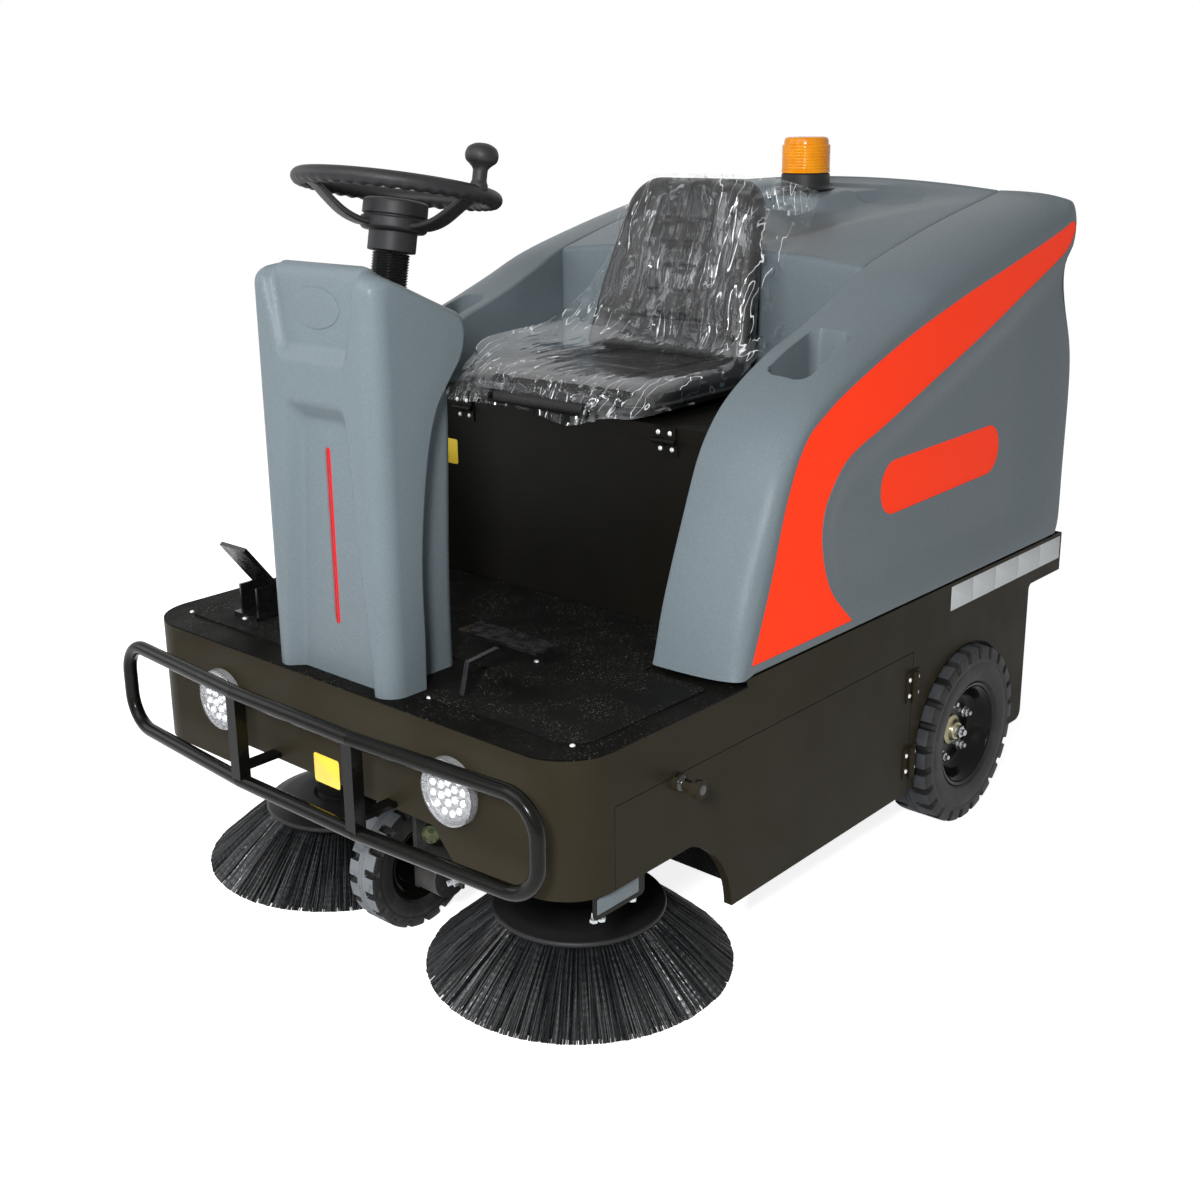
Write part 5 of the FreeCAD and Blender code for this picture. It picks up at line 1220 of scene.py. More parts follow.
brush = bmesh.new()
side_brush(brush, 150, 17, (141.0, 145.5), (262.6, 264.4), seed=3)
side_brush(brush, 96, 9, (118.0, 139.0), (240.0, 262.0), seed=4)
on_brush = upright(BRUSH_X, BRUSH_MIDDLE_Y)
lathe(brush, [(96, 99.5), (137, 99.5), (254, 3.5), (236, 3.0), (150, 60), (96, 98)], 72, on_brush,
      ripple=lambda turn, z: 3.0 * math.sin(turn * 41) * max(0.0, 1 - z / 99))
left_bristles = solid_piece("side_bristles_left", brush, fibre_black, "side_brush_left", "brush_fibre",
                            "brush_bristles_left", smooth=60)
mirrored(left_bristles)
print("side brush:", len(left_bristles.data.polygons), "faces")

# %% [markdown]
# The disc that holds the tufts is a low dome with a rolled rim and an open bore for the motor shaft. Its
# outline is a closed one, so the last ring of the lathe is joined to the first.

# %% Domes over the side brushes
DOME_STEPS = 96
dome = bmesh.new()
dome_outline = [(12.3, 100.2, 0), (141, 100.2, 2), (148.5, 101.5, 3), (149.7, 106, 3), (147, 110.5, 3),
                (140, 112.5, 4), (122, 119.5, 8), (92, 121.6, 6), (58, 121.8, 2), (52, 118.0, 2), (40, 118.0, 2),
                (34, 121.8, 2), (12.3, 121.8, 0)]
dome_rings = turned(dome, dome_outline, DOME_STEPS, on_brush)
for k in range(DOME_STEPS):
    j = (k + 1) % DOME_STEPS
    dome.faces.new((dome_rings[-1][k], dome_rings[-1][j], dome_rings[0][j], dome_rings[0][k]))
mirrored(solid_piece("brush_dome_left", dome, soft_black, "side_brush_left", "black_plastic", "brush_disc_left"))
print("brush domes made")

# %% [markdown]
# The main roller carries the same nylon in chevron rows, seen only from below and when the doors are open.
# Its strands are shorter and stand straight out from the core.

# %% Roller tufts
roller = bmesh.new()
rng = random.Random(8)
ROLLER_Y, ROLLER_Z, ROLLER_CORE, ROLLER_RADIUS, ROLLER_HALF = 60.0, 145.0, 70.0, 143.4, 334
TUFT_ROWS, ROW_TUFTS = 14, 62
for row in range(TUFT_ROWS):
    for column in range(ROW_TUFTS):
        x_middle = -ROLLER_HALF + column * 2 * ROLLER_HALF / (ROW_TUFTS - 1)
        turn_middle = 2 * math.pi * row / TUFT_ROWS + 0.0035 * abs(x_middle)
        for _ in range(3):
            x = x_middle + rng.uniform(-4.5, 4.5)
            turn = turn_middle + rng.gauss(0, 0.05)
            lean = rng.gauss(0, 0.05)
            line = []
            for t in (0.0, 0.5, 1.0):
                r = ROLLER_CORE - 1 + (ROLLER_RADIUS - rng.uniform(0, 2.5) - ROLLER_CORE + 1) * t
                line.append((x + lean * 60 * t, ROLLER_Y + r * math.cos(turn + lean * t),
                             ROLLER_Z + r * math.sin(turn + lean * t)))
            strand(roller, line, 1.1, rng.uniform(0, 2))
solid_piece("roller_tufts", roller, fibre_black, "main_brush", "brush_fibre", "roller_bristles", smooth=60)
print("roller:", TUFT_ROWS * ROW_TUFTS, "tufts")

# %% [markdown]
# The seat is a moulded foam shell under thick vinyl. Foam is soft, so the pad has no flat face: it is full in
# the middle, rolls over at every edge, and the pressed seams pull it down in shallow channels. The pad is
# made as rows across the seat. Every point asks how far it is from the edge and from each seam, and sinks
# by that much. A subdivided box would need the same seams cut in by hand.

# %% Seat cushion
SEAM_X, SEAM_ROWS, SEAM_WIDE = 116.0, (-122.0, -42.0, 38.0), 10.0
CUSHION_TOP, CUSHION_FOOT, CUSHION_MIDDLE_Y, PAD_STEP = 934.5, 886.3, -17, 5.2
EDGE_STEPS = (0.0, 0.8, 2.4, 5.0, 8.5, 13.0, 18.5, 25.0)


def dent(distance, wide, deep):
    """Depth of a soft seam at a distance from its middle."""
    return deep * (1 - ease(abs(distance) / wide))


def stacked(starts, middle_low, middle_high, step):
    """Stations from edge to edge, crowded near both edges."""
    count = max(2, round((middle_high - middle_low) / step))
    return ([middle_low - starts[-1] + s for s in starts[:-1]] + evenly(count, middle_low, middle_high)
            + [middle_high + starts[-1] - s for s in starts[-2::-1]])


cushion_ring = round_corners([(-233, -205, 70), (233, -205, 70), (213, 170, 50), (-213, 170, 50)], 8)


def half_width(y):
    """Half the width of the cushion at y."""
    best = 0.0
    for (a, b), (u, v) in zip(cushion_ring, cushion_ring[1:] + cushion_ring[:1]):
        if (b - y) * (v - y) <= 0 and b != v:
            best = max(best, a + (u - a) * (y - b) / (v - b))
    return best


def cushion_top(x, y, edge):
    """Height of the cushion over its plan; edge is the distance to its outline."""
    roll = 23.0 * (1 - min(edge / 34, 1)) ** 2.4
    crown = 4.0 * (1 - (x / 150) ** 2) if abs(x) < SEAM_X else 0.0
    bolster = 6.5 * ease((abs(x) - SEAM_X) / 34) * (1 - 0.6 * ease((-y - 120) / 90))
    seams = dent(abs(x) - SEAM_X, SEAM_WIDE, 5.5) * ease((y + 196) / 30)
    if abs(x) < SEAM_X + 4:
        for seam in SEAM_ROWS:
            seams = max(seams, dent(y - seam, SEAM_WIDE * 0.9, 4.0))
    lip = 9.0 * ease((-y - 150) / 55) ** 2
    return CUSHION_TOP + crown + bolster - roll - seams - lip


pad = bmesh.new()
closed_ring = cushion_ring + cushion_ring[:1]
pad_rows = []
for y in stacked(EDGE_STEPS, -180, 145, PAD_STEP):
    y = min(max(y, -204.9), 169.9)
    wide = half_width(y)
    stations = stacked(EDGE_STEPS, -wide + EDGE_STEPS[-1], wide - EDGE_STEPS[-1], PAD_STEP)
    row = [(x, y, cushion_top(x, y, span_to((x, y), closed_ring))) for x in stations]
    pad_rows.append(along(row, evenly(96)))
top_rows = skin(pad, pad_rows)
rim = (top_rows[0] + [row[-1] for row in top_rows[1:-1]] + top_rows[-1][::-1]
       + [row[0] for row in top_rows[-2:0:-1]])
SKIRT = [(1.2, 908.5), (2.0, 905), (4.6, 903.5), (5.6, 901), (4.6, 898.5), (1.6, 897.5), (0.6, 894), (-2.5, 889),
         (-9, CUSHION_FOOT)]
centre = Vector((0, CUSHION_MIDDLE_Y))
level = rim
for out, z in SKIRT:
    ring = []
    for vert in rim:
        flat = Vector((vert.co.x / MM, vert.co.y / MM))
        ahead = (flat - centre).normalized()
        ring.append(pad.verts.new(((flat.x + ahead.x * out) * MM, (flat.y + ahead.y * out) * MM, z * MM)))
    for k in range(len(rim)):
        j = (k + 1) % len(rim)
        pad.faces.new((level[k], level[j], ring[j], ring[k]))
    level = ring
middle = pad.verts.new((0, CUSHION_MIDDLE_Y * MM, CUSHION_FOOT * MM))
for k in range(len(level)):
    pad.faces.new((level[k], level[(k + 1) % len(level)], middle))
cushion_piece = solid_piece("seat_pad", pad, vinyl_black, "seat", "seat_vinyl", "seat_cushion", merge=0.02,
                            smooth=65)
print("seat pad:", len(cushion_piece.data.polygons), "faces")

# %% [markdown]
# The backrest leans back and narrows upwards. Its front has two raised side bolsters, a smooth band at the
# foot and a middle column of small square pads, which let air through between them. It is built as rings
# around the pad from foot to top; the last rings close over the top edge.

# %% Seat backrest
BACK_LOW, BACK_HIGH, CORNER = 936.6, 1270.0, 60.0
BACK_HALF, BACK_NARROWS = 205, 45
SMALL_PADS_LOW, SMALL_PADS_HIGH = 1012, 1237


def back_half(z):
    """Half the width of the backrest at a height, before its top corners."""
    return BACK_HALF - BACK_NARROWS * (z - BACK_LOW) / (BACK_HIGH - BACK_LOW)


def back_relief(x, z):
    """How far the front of the backrest stands out at a point."""
    half = back_half(z)
    out = 9.0 * ease((abs(x) - half * 0.5) / (half * 0.22)) * ease((BACK_HIGH - 20 - z) / 60)
    out -= dent(abs(x) - half * 0.47, 9, 5.0) * ease((z - 1004) / 14) * ease((1246 - z) / 12)
    out -= dent(z - 1003, 8, 4.5) * ease((half * 0.52 - abs(x)) / 10)
    across, up = (abs(x) - 31) / 25, ((z - SMALL_PADS_LOW) % 45 - 22.5) / 19.5
    if SMALL_PADS_LOW < z < SMALL_PADS_HIGH and abs(x) < 62:
        out += 4.5 * ease((1.02 - max(abs(across), abs(up))) / 0.22)
    return out


backrest = bmesh.new()
rings = []
heights = ([BACK_LOW, BACK_LOW + 1.2, BACK_LOW + 4, BACK_LOW + 9] + evenly(66, BACK_LOW + 14, BACK_HIGH - CORNER)
           + [BACK_HIGH - CORNER + CORNER * math.sin(math.pi / 2 * k / 16) for k in range(1, 17)])
for z in heights:
    share = (z - BACK_LOW) / (BACK_HIGH - BACK_LOW)
    half = back_half(z)
    drop = z - (BACK_HIGH - CORNER)
    if drop > 0:
        half -= CORNER - math.sqrt(max(CORNER ** 2 - drop ** 2, 0))
    front = 119 + 112 * share - 9 * math.sin(math.pi * min(share * 1.1, 1))
    rear = 186 + 86 * share + 4 * math.sin(math.pi * share)
    over = min(max(0.0, z - (BACK_HIGH - 30)) / 30, 0.985)
    pinch = (rear - front) * 0.5 * quarter(over)
    foot = 7 * (1 - min((z - BACK_LOW) / 14, 1)) ** 2
    front, rear, half = front + pinch + foot, rear - pinch - foot, half - foot
    corner = min(24, (rear - front) * 0.46)
    outline = [(x, y, z) for x, y in round_box(-half, half, front, rear, corner, 7)]
    ring = []
    for x in evenly(84, corner - half, half - corner):
        ring.append((x, front - back_relief(x, z) * (1 - over), z))
    ring += outline[9:16] + [(x, rear, z) for x in evenly(23, half - corner, corner - half)]
    rings.append(ring + outline[25:32] + outline[1:7])
skin(backrest, rings, loop_columns=True, capped=True)
back_piece = solid_piece("seat_back_pad", backrest, vinyl_black, "seat", "seat_vinyl", "seat_backrest", smooth=65)
print("backrest:", len(back_piece.data.polygons), "faces")

# %% [markdown]
# In front of the cushion lies a grab tube in soft plastic. Its fine rings are grooves in the outline that is
# turned about the tube's axis, so they are real and catch the light as they do on the machine.

# %% Grab tube
tube = bmesh.new()
tube_outline = [(0, -110.4), (11.5, -110.4), (13, -109)]
for at in evenly(56, -106, 106):
    tube_outline += [(13, at - 1.2), (12.2, at - 0.5), (12.2, at + 0.5), (13, at + 1.2)]
tube_outline += [(13, 109), (11.5, 110.4), (0, 110.4)]
lathe(tube, tube_outline, 36, lambda a, b, h: (h, -223 + a, 892 + b))
solid_piece("seat_grab_tube", tube, soft_black, "seat", "black_plastic", smooth=30)
print("grab tube made")

# %% [markdown]
# A new machine comes with a clear plastic bag over its seat. It is one thin sheet that stands off the foam in a
# few places, is drawn tight from the corners of the backrest to the cushion, and hangs in front with a slit
# through which the grab tube looks out. Cloth simulation makes film look like silk; stiff film breaks into sharp
# little ridges instead, so the sheet is laid through a given net of points and then creased.

# %% Transport film
FILM_NET = [
    [(-150, 292, 1205), (-118, 290, 1215), (0, 292, 1216), (118, 292, 1216), (165, 318, 1205), (192, 345, 1172)],
    [(-170, 280, 1264), (-120, 268, 1275), (0, 264, 1276), (122, 270, 1276), (168, 300, 1266), (212, 352, 1244)],
    [(-176, 245, 1236), (-128, 224, 1254), (0, 216, 1262), (128, 214, 1253), (163, 230, 1236), (215, 317, 1187)],
    [(-192, 224, 1170), (-152, 182, 1178), (0, 190, 1180), (150, 178, 1178), (184, 196, 1160), (216, 272, 1107)],
    [(-205, 178, 1100), (-170, 154, 1100), (0, 158, 1100), (160, 150, 1100), (194, 170, 1090), (218, 253, 1052)],
    [(-212, 120, 1040), (-182, 130, 1040), (0, 134, 1036), (168, 132, 1040), (203, 150, 1022), (226, 200, 992)],
    [(-222, 40, 996), (-184, 72, 992), (0, 104, 972), (176, 100, 980), (214, 112, 970), (236, 108, 948)],
    [(-242, -38, 984), (-176, -12, 972), (0, 34, 950), (176, 46, 954), (226, 46, 946), (246, 20, 912)],
    [(-250, -112, 975), (-170, -90, 966), (0, -50, 947), (176, -34, 952), (230, -38, 942), (247, -72, 898)],
    [(-250, -160, 948), (-176, -158, 955), (0, -140, 946), (166, -128, 950), (230, -124, 938), (247, -150, 896)],
    [(-250, -196, 905), (-184, -214, 926), (-10, -210, 936), (140, -206, 938), (212, -194, 928), (242, -200, 893)],
    [(-246, -226, 884), (-184, -240, 898), (-10, -240, 912), (120, -243, 908), (186, -240, 902), (225, -238, 890)],
    [(-240, -240, 876), (-170, -252, 880), (-20, -248, 880), (96, -262, 868), (165, -262, 886), (204, -258, 892)],
]
FILM_ACROSS, FILM_ALONG, FILM_GAP = 120, 190, 0.0022  # the gap is in metres
net_rows = [along(row, evenly(FILM_ACROSS)) for row in FILM_NET]
net_columns = [along([row[k] for row in net_rows], evenly(FILM_ALONG)) for k in range(FILM_ACROSS)]
seat_points, seat_faces = [], []
for piece in (cushion_piece, back_piece):
    seat_faces += [[len(seat_points) + v for v in face.vertices] for face in piece.data.polygons]
    seat_points += [v.co for v in piece.data.vertices]
seat_tree = BVHTree.FromPolygons(seat_points, seat_faces)


def crease(point, size, sharp):
    """Ridges of stiff film: 1 on a ridge and 0 between the ridges."""
    return max(0.0, 1 - abs(noise.noise(point / size)) * sharp)


film = bmesh.new()
film_verts = skin(film, [[net_columns[k][r] for k in range(FILM_ACROSS)] for r in range(FILM_ALONG)])
film.normal_update()
noise.seed_set(7)  # without a seed, noise_vector gives other values on each run
moved = []
for row in film_verts:
    for vert in row:
        point = vert.co.copy()
        bend = noise.noise_vector(point * 9.0) * 0.35
        pulled = Vector((point.x * 1.1 + bend.x * 0.1, point.y * 0.4, point.z * 0.28))
        long_ridge = 0.0055 * crease(pulled + bend * 0.05, 0.046, 3.6)
        ridges = long_ridge + 0.0020 * crease(point + bend * 0.02, 0.024, 2.8) + 0.0085 * noise.noise(point * 11.0)
        faces_out = vert.normal.z + abs(vert.normal.y) > -0.3
        moved.append((vert, point + vert.normal * (ridges if faces_out else 0.0)))
for vert, place in moved:
    found, normal, _, _ = seat_tree.find_nearest(place)
    if (place - found).dot(normal) < FILM_GAP:
        place = found + normal * FILM_GAP
    vert.co = place
for face in list(film.faces):
    middle = face.calc_center_median()
    if -0.112 < middle.x < 0.128 and middle.y < -0.215 and 0.884 < middle.z < 0.907:  # the slit
        film.faces.remove(face)
flat_area = sum(face.calc_area() for face in film.faces)
print("film area, square metres:", round(flat_area, 4))
film_piece = solid_piece("seat_film", film, film_clear, "seat", smooth=25)

# %% [markdown]
# Two round work lamps sit in the apron. Each has a mirrored bowl, nineteen small diodes under round bright
# caps, and a clear dish with a ribbed edge in front. The caps are what one sees, so each is a small dome.

# %% Lamps in the apron
LAMP_X, LAMP_Z, APRON_Y = 294.5, 400.0, -744.0


def in_lamp(side, a0=0.0, b0=0.0):
    """Places local points of a lamp: a and b across its face, h forward from the apron."""
    return lambda a, b, h: (side * LAMP_X + a0 + a, APRON_Y - h, LAMP_Z + b0 + b)


BOWL = [(0, 0.2, 0), (52, 0.2, 1), (55, 4, 1), (55, 15, 1), (52.5, 16, 0.5), (51, 15, 1), (48, 7, 4), (0, 5.5, 0)]
DIODE = [(0, 5), (7.6, 5), (7.6, 8), (7.0, 11), (5.2, 13.4), (2.7, 15.0), (0, 15.6)]
DISH = [(0, 21.8, 0), (30, 21.6, 4), (49, 20.4, 3), (54.5, 17.5, 3), (56.3, 11, 2), (56.3, 1.5, 1),
        (55.2, 0.5, 0.5), (55.2, 11, 1), (53, 16, 3), (48, 18.6, 3), (30, 19.6, 4), (0, 19.8, 0)]
bowls, diodes, dishes = bmesh.new(), bmesh.new(), bmesh.new()
for side in (-1, 1):
    turned(bowls, BOWL, 72, in_lamp(side))
    for ring, count in ((0, 1), (17.5, 6), (35, 12)):
        for k in range(count):
            turn = 2 * math.pi * (k + 0.5) / count
            lathe(diodes, DIODE, 12, in_lamp(side, ring * math.cos(turn), ring * math.sin(turn)))
    turned(dishes, DISH, 90, in_lamp(side),
           ripple=lambda turn, h: 0.0 if h > 18.5 else 0.35 * math.sin(turn * 45))
solid_piece("lamp_bowls", bowls, bowl_grey, "chassis", "lamp_chrome", "lamp_housings")
solid_piece("lamp_diodes", diodes, chrome, "chassis", smooth=50)
solid_piece("lamp_dishes", dishes, lens_clear, "chassis", "clear_lens", "lamp_lenses")
print("lamps made")

# %% [markdown]
# The warning beacon has a thin plate under a black base, and an amber hood whose wall is a stack of fine
# horizontal ribs. The ribs spread the light sideways on the real one, and they give the hood its stripes.

# %% Warning beacon
BEACON_Y, RIB_PITCH = 617.0, 6.2
base = bmesh.new()
turned(base, [(0, 1233.2, 0), (62.5, 1233.2, 0.8), (62.5, 1236, 0.8), (55, 1237, 2), (52.5, 1242, 3),
              (51.5, 1266, 1.5), (47, 1268, 1), (0, 1268, 0)], 64, upright(0.0, BEACON_Y))
solid_piece("beacon_foot", base, soft_black, "chassis", "black_plastic", "beacon_base")
ribbed_line = [(0, 1262), (46.5, 1262), (46.5, 1268.5), (51.6, 1268.5), (51.8, 1274)]
for k in range(8):
    low = 1275.5 + RIB_PITCH * k
    ribbed_line += [(50.7, low), (51.3, low + 1.6), (51.3, low + 4.2), (50.7, low + 5.6)]
ribbed_line += [(49.6, 1326.5), (47.6, 1327.5), (47.4, 1333), (46.4, 1338), (43.2, 1341.3), (36, 1342.6),
                (0, 1343.2)]
beacon_hood = bmesh.new()
lathe(beacon_hood, ribbed_line, 72, upright(0.0, BEACON_Y))
solid_piece("beacon_hood", beacon_hood, amber, "chassis", "amber_lens", "beacon_lens", smooth=32)
print("beacon made")

# %% [markdown]
# The tyres are industrial block tyres: a closed rib around the middle, and blocks at both shoulders that are
# half a pitch apart. One section line runs from bead to bead; where a gap between blocks passes, its points
# sink by the depth written beside them. Cutting the gaps out of a finished tyre would leave ragged corners.

# %% Tyres
SECTION_RIM, SECTION_RADIUS, SECTION_HALF, BLOCK_TOP = 107, 182, 50, 4.0
TYRE_SECTION = [  # across, radius, sink of the radius in a gap, sink across in a gap; for a 182 mm tyre
    (38, 107, 0, 0), (43.5, 110, 0, 0), (46.5, 113, 0, 0), (47.5, 118, 0, 0), (49.2, 128, 0, 0), (49.8, 138, 0, 0),
    (49.6, 147, 0, 0), (48.9, 149.5, 0, 0), (49.6, 151.5, 0, 0), (49.8, 158, 0, 0.5), (49.6, 163, 1, 6),
    (49.0, 169, 5, 9), (48.0, 175, 10, 9), (46.0, 179.6, 13, 6), (43.2, 181.4, 13.5, 2), (39, 181.9, 13.5, 0),
    (31, 182, 13.5, 0), (23, 182, 13.5, 0), (16.8, 182, 13, 0), (14, 182, 2, 0), (12, 182, 0, 0), (8.5, 182, 0, 0),
    (7, 179.5, 0, 0), (2.5, 179.5, 0, 0), (1, 182, 0, 0)]
BLOCK_SPOTS = (0, .08, .13, .17, .25, .33, .37, .42, .5, .58, .63, .67, .75, .83, .87, .92)


def gap_share(phase):
    """1 in the gap between two blocks, 0 on a block."""
    return min(max((0.155 - abs(phase % 1 - 0.5)) / 0.035, 0.0), 1.0)


def tyre(name, body, place, radius, half, rim, blocks, dusty, node):
    """A tyre about an axle along x; place is its centre and dusty the finish of its block tops."""
    bm = bmesh.new()
    size = (radius - rim) / (SECTION_RADIUS - SECTION_RIM)
    rows = []
    for block in range(blocks):
        for spot in BLOCK_SPOTS:
            turn = 2 * math.pi * (block + spot) / blocks
            row = []
            for side, section in ((1, TYRE_SECTION), (-1, TYRE_SECTION[::-1])):
                gap = gap_share(spot if side > 0 else spot + 0.5)
                for across, r, sink, tuck in section:
                    x = side * (across - tuck * gap) * half / SECTION_HALF
                    r = rim + (r - sink * gap - SECTION_RIM) * size
                    row.append((place[0] + x, place[1] + r * math.cos(turn), place[2] + r * math.sin(turn)))
            rows.append(row)
    skin(bm, rows, loop_rows=True, loop_columns=True)
    piece = solid_piece(name, bm, tyre_rubber, body, "tyre_rubber", node, smooth=30)
    piece.data.materials.append(dusty.mat)
    block_top = (radius - BLOCK_TOP * size) * MM
    for face in piece.data.polygons:
        y, z = face.center[1] - place[1] * MM, face.center[2] - place[2] * MM
        face.material_index = int(math.hypot(y, z) > block_top)
    return piece


REAR_WHEEL, FRONT_WHEEL = (512.5, 425.0, 182.0), (0.0, -580.0, 120.0)
rear_tyre = tyre("tyre_rear_left", "rear_wheel_left", REAR_WHEEL, 181.8, 50, 107, 24, tread_worn, "rear_tyre_left")
mirrored(rear_tyre)
tyre("tyre_front", "front_wheel", FRONT_WHEEL, 119.8, 33, 70, 18, tread_dust, "front_tyre")
print("rear tyre:", len(rear_tyre.data.polygons), "faces")

# %% [markdown]
# The rear rims are pressed dishes in gloss black, with five zinc nuts and a yellow-plated hub. The nuts are
# turned with six steps, which is all that a hexagon needs.

# %% Rims, nuts and hubs
def hexagon(bm, put, radius, low, high):
    """A hexagonal nut or bolt head with a turned-down top edge."""
    lathe(bm, [(0, low), (radius, low), (radius, high - 1.2), (radius * 0.84, high), (0, high)], 6, put)


def on_axle(place, turn=0.0, reach=0.0):
    """Local points beside an axle along x, h outward to the driver's left."""
    y0, z0 = place[1] + reach * math.cos(turn), place[2] + reach * math.sin(turn)
    return lambda a, b, h: (place[0] + h, y0 + a, z0 + b)


REAR_RIM = [(0, 3, 0), (62, 3, 2), (74, 4.5, 5), (82, 12, 5), (92, 32, 6), (99, 37, 3), (101, 42, 2),
            (106.5, 43.5, 2), (108.5, 40, 1), (107.6, 34, 2), (107, -34, 2), (108.5, -40, 1), (106.5, -43.5, 2),
            (100, -42, 2), (96, -34, 3), (84, -6, 4), (70, -3, 3), (0, -3, 0)]
HALF_RIM = [(0, 6, 0), (34, 6, 3), (46, 9, 4), (54, 20, 5), (62, 24.5, 3), (69, 26.5, 2), (70.5, 24, 1),
            (69.8, 20, 1)]
FRONT_RIM = HALF_RIM + [(r, -h, rounding) for r, h, rounding in HALF_RIM[::-1]]
HUB = [(0, 3, 0), (31, 3, 1), (31, 7, 1.5), (22, 9, 3), (19, 18, 3), (17, 20, 1), (0, 20, 0)]
NUT_COUNT, NUT_REACH = 5, 58

rim, nuts, hub, front = (bmesh.new() for _ in range(4))
turned(rim, REAR_RIM, 96, on_axle(REAR_WHEEL))
mirrored(solid_piece("rim_rear_left", rim, rim_black, "rear_wheel_left", "rim_paint", "rear_rim_left"))

for k in range(NUT_COUNT):
    spot = on_axle(REAR_WHEEL, 2 * math.pi * (k + 0.3) / NUT_COUNT, NUT_REACH)
    lathe(nuts, [(0, 3), (11, 3), (11, 4.6), (0, 4.6)], 24, spot)
    hexagon(nuts, spot, 9, 4.4, 13)
    lathe(nuts, [(0, 12.8), (4.8, 12.8), (4.8, 19), (3.9, 20), (0, 20)], 16, spot)
hexagon(nuts, on_axle(REAR_WHEEL), 13, 20, 30)
lathe(nuts, [(0, 29.8), (6.5, 29.8), (6.5, 36), (5.2, 37.4), (0, 37.4)], 20, on_axle(REAR_WHEEL))
turned(hub, HUB, 48, on_axle(REAR_WHEEL))
mirrored(solid_piece("wheel_nuts_left", nuts, zinc, "rear_wheel_left", smooth=25))
mirrored(solid_piece("wheel_hub_left", hub, gold_zinc, "rear_wheel_left"))

turned(front, FRONT_RIM, 72, on_axle(FRONT_WHEEL))
solid_piece("rim_front", front, rim_black, "front_wheel", "rim_paint", "front_rim")
print("rims, hubs and", 2 * NUT_COUNT, "wheel nuts made")

# %% [markdown]
# The last cells add what holds the machine together and what is stuck on it: white dome screws, hinge
# screws, door knobs, blank plates. They are tiny, but a panel without them looks like cardboard.

# %% Screws and knobs
def facing(place, normal, up=(0, 0, 1)):
    """Local points on a face: a and b along it, h out of it."""
    out = Vector(normal).normalized()
    side = Vector(up).cross(out).normalized()
    rise = out.cross(side)
    return lambda a, b, h: Vector(place) + side * a + rise * b + out * h


SCREW_HEAD = [(0, 0), (4.6, 0), (4.6, 0.9), (3.7, 2.1), (2.0, 2.9), (0, 3.1)]
KNOB = [(0, 0.1, 0), (14.6, 0.1, 2), (15.2, 5, 4), (13.5, 10, 3), (8.6, 15, 5), (8.4, 32, 5), (13.6, 36, 3),
        (15.2, 43, 4), (14, 49.5, 3), (0, 50.6, 0)]


def screws(name, places, normal, body, up=(0, 0, 1)):
    """One piece with a white dome screw at each place."""
    bm = bmesh.new()
    for place in places:
        lathe(bm, SCREW_HEAD, 14, facing(place, normal, up))
    solid_piece(name, bm, dome_white, body)


for side, word in ((1, "left"), (-1, "right")):
    for leaf, y, body in (("door_", 201.5, "door_" + word), ("panel_", 230.5, "chassis")):
        screws("hinge_screws_" + leaf + word, [(side * 542.9, y, z) for z in (174, 206, 329, 361)],
               (side, 0, 0), body)
    knob = bmesh.new()
    turned(knob, KNOB, 40, facing((side * 540, -500.5, 402), (side, 0, 0)))
    solid_piece("door_knob_" + word, knob, pedal_black, "door_" + word)

across = [side * 253 + step for side in (-1, 1) for step in (-13, 13)]
screws("lid_screws", [(x, -178.9, 861) for x in across], (0, -1, 0), "seat")
screws("box_screws", [(x, -172.9, 831) for x in across], (0, -1, 0), "chassis")
screws("deck_screws", [(-483, -676, 504), (483, -676, 504), (205, -460, 507), (181, -683, 504), (-366, -641, 507)],
       (0, 0, 1), "chassis", up=(0, 1, 0))
print("screws and knobs made")

# %% [markdown]
# The hopper's handle is a bent rod, and over each rear wheel a thin sheet is bent to an arc, which keeps the
# dirt out of the machine. Both are one outline carried along a path.

# %% Handle and wheel liners
handle = bmesh.new()
handle_line = along([(-95, 722.5, 300), (-95, 742, 300), (-84, 754, 300), (-60, 757, 300), (60, 757, 300),
                     (84, 754, 300), (95, 742, 300), (95, 722.5, 300)], evenly(46))
sweep(handle, handle_line, circle(6.5, 16))
solid_piece("hopper_handle", handle, tube_black, "hopper", "black_tube")

LINER_X, LINER_RADIUS, LINER_HALF = 458, 206, 77
liner = bmesh.new()
arc = [(LINER_X, REAR_WHEEL[1] - LINER_RADIUS * math.cos(math.pi * t),
        REAR_WHEEL[2] + LINER_RADIUS * math.sin(math.pi * t)) for t in evenly(49, -0.02, 1.02)]
sweep(liner, arc, [(-1, -LINER_HALF), (1, -LINER_HALF), (1, LINER_HALF), (-1, LINER_HALF)], up=(1, 0, 0))
mirrored(solid_piece("wheel_liner_left", liner, sheet_black_shaded, "chassis", "black_sheet", smooth=30))
print("handle and liners made")

# %% [markdown]
# Plates and stickers stay blank. A plate is a thin slab with round corners that stands a little off the sheet.
# A flat picture on the metal would be lighter, but it would lose the thin shadow line that shows its edge.

# %% Blank plates
def plate(bm, width, height, thick, rounding, put):
    """A thin slab with round corners and a soft front edge."""
    ring = round_box(-width / 2, width / 2, -height / 2, height / 2, rounding, 6)
    rows = [[put(a * k, b * m, h) for a, b in ring] for k, m, h in (
        (1, 1, 0), (1, 1, thick * 0.7), (1 - 0.6 / width, 1 - 0.6 / height, thick))]
    skin(bm, rows, loop_columns=True, capped=True)


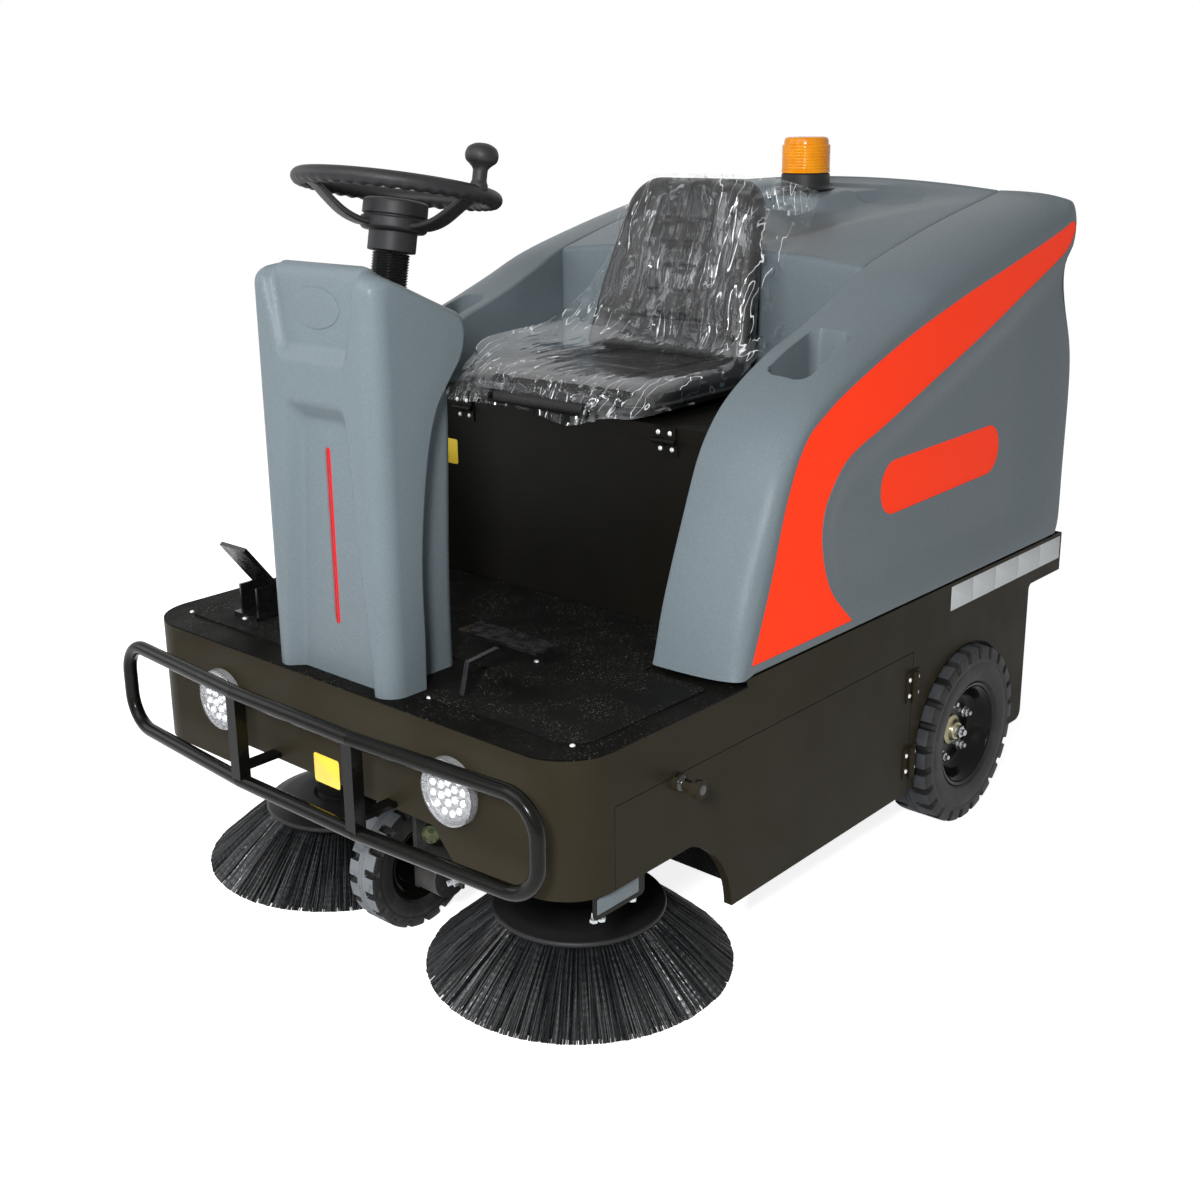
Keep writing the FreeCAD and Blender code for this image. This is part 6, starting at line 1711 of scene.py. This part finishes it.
strip, stickers = bmesh.new(), bmesh.new()
STRIP_ENDS, STRIP_GAP = (350, 437, 531, 630, 730, 826), 1.4
for low, high in zip(STRIP_ENDS, STRIP_ENDS[1:]):
    plate(strip, high - low - STRIP_GAP, 49, 0.7, 1.2, facing((540.05, (low + high) / 2, 483.5), (1, 0, 0)))
plate(stickers, 66, 52, 0.6, 5, facing((-15, -744.05, 341), (0, -1, 0)))
plate(stickers, 54, 50, 0.6, 5, facing((-307, -170.05, 752), (0, -1, 0)))
solid_piece("side_plates", strip, label_grey, "chassis")
solid_piece("yellow_plates", stickers, label_yellow, "chassis")
print(len(STRIP_ENDS) - 1, "side plates and 2 yellow plates made")

# %% [markdown]
# A bolted bracket hangs below the apron's corner, and a tab with a long bolt links the brush motor's arm. On
# the fork sit the round cap of the drive motor and the nuts of the front axle. The thread of the long bolt is
# a row of fine steps in its outline: a true spiral would not be seen at this size.

# %% Corner bracket, brush link and drive cap
bracket, bracket_strip, bolts, tab, cap, axle_nuts = (bmesh.new() for _ in range(6))
plate(bracket, 118, 62, 3, 9, facing((528, -628, 267), (1, 0, 0)))
plate(bracket_strip, 96, 26, 0.7, 1.5, facing((531.05, -632, 258), (1, 0, 0)))
for y, low, high in ((-679, 231, 247), (-662, 226, 247), (-590, 229, 247)):
    spot = upright(523.5, y)
    hexagon(bolts, spot, 6.8, low, low + 6)
    lathe(bolts, [(0, low + 5.8), (4, low + 5.8), (4, high), (0, high)], 14, spot)
link = facing((268, -712, 226), (-0.45, -0.85, -0.2))
hexagon(bolts, link, 9, 4, 13)
thread = [(4.4 + 0.6 * (k % 2), 13 + k * 1.1) for k in range(9)]
lathe(bolts, [(0, 12.5), (5, 12.5)] + thread + [(0, 22.5)], 16, link)
plate(tab, 34, 96, 4, 10, facing((268, -708, 260), (-0.45, -0.85, 0)))
solid_piece("corner_bracket", bracket, sheet_black_shaded, "chassis", "black_sheet")
solid_piece("bracket_plate", bracket_strip, moulded_grey, "chassis")
solid_piece("bracket_bolts", bolts, zinc, "chassis")
solid_piece("brush_link_tab", tab, sheet_black_shaded, "chassis", "black_sheet")

cap_line = [(0, 0, 0), (17, 0, 1), (18, 3, 1), (18, 8, 2), (15, 11, 2), (12.5, 9, 1), (6, 10, 3), (0, 11.5, 0)]
turned(cap, cap_line, 40, facing((84, -604, 206), (0.55, -0.8, 0.1)))
for side in (-1, 1):
    hexagon(axle_nuts, facing((side * 52, *FRONT_WHEEL[1:]), (side, 0, 0)), 12, 0.1, 9)
solid_piece("drive_cap", cap, cap_green, "fork")
solid_piece("axle_nuts", axle_nuts, zinc, "fork", smooth=25)
print("bracket, link, cap and nuts made")
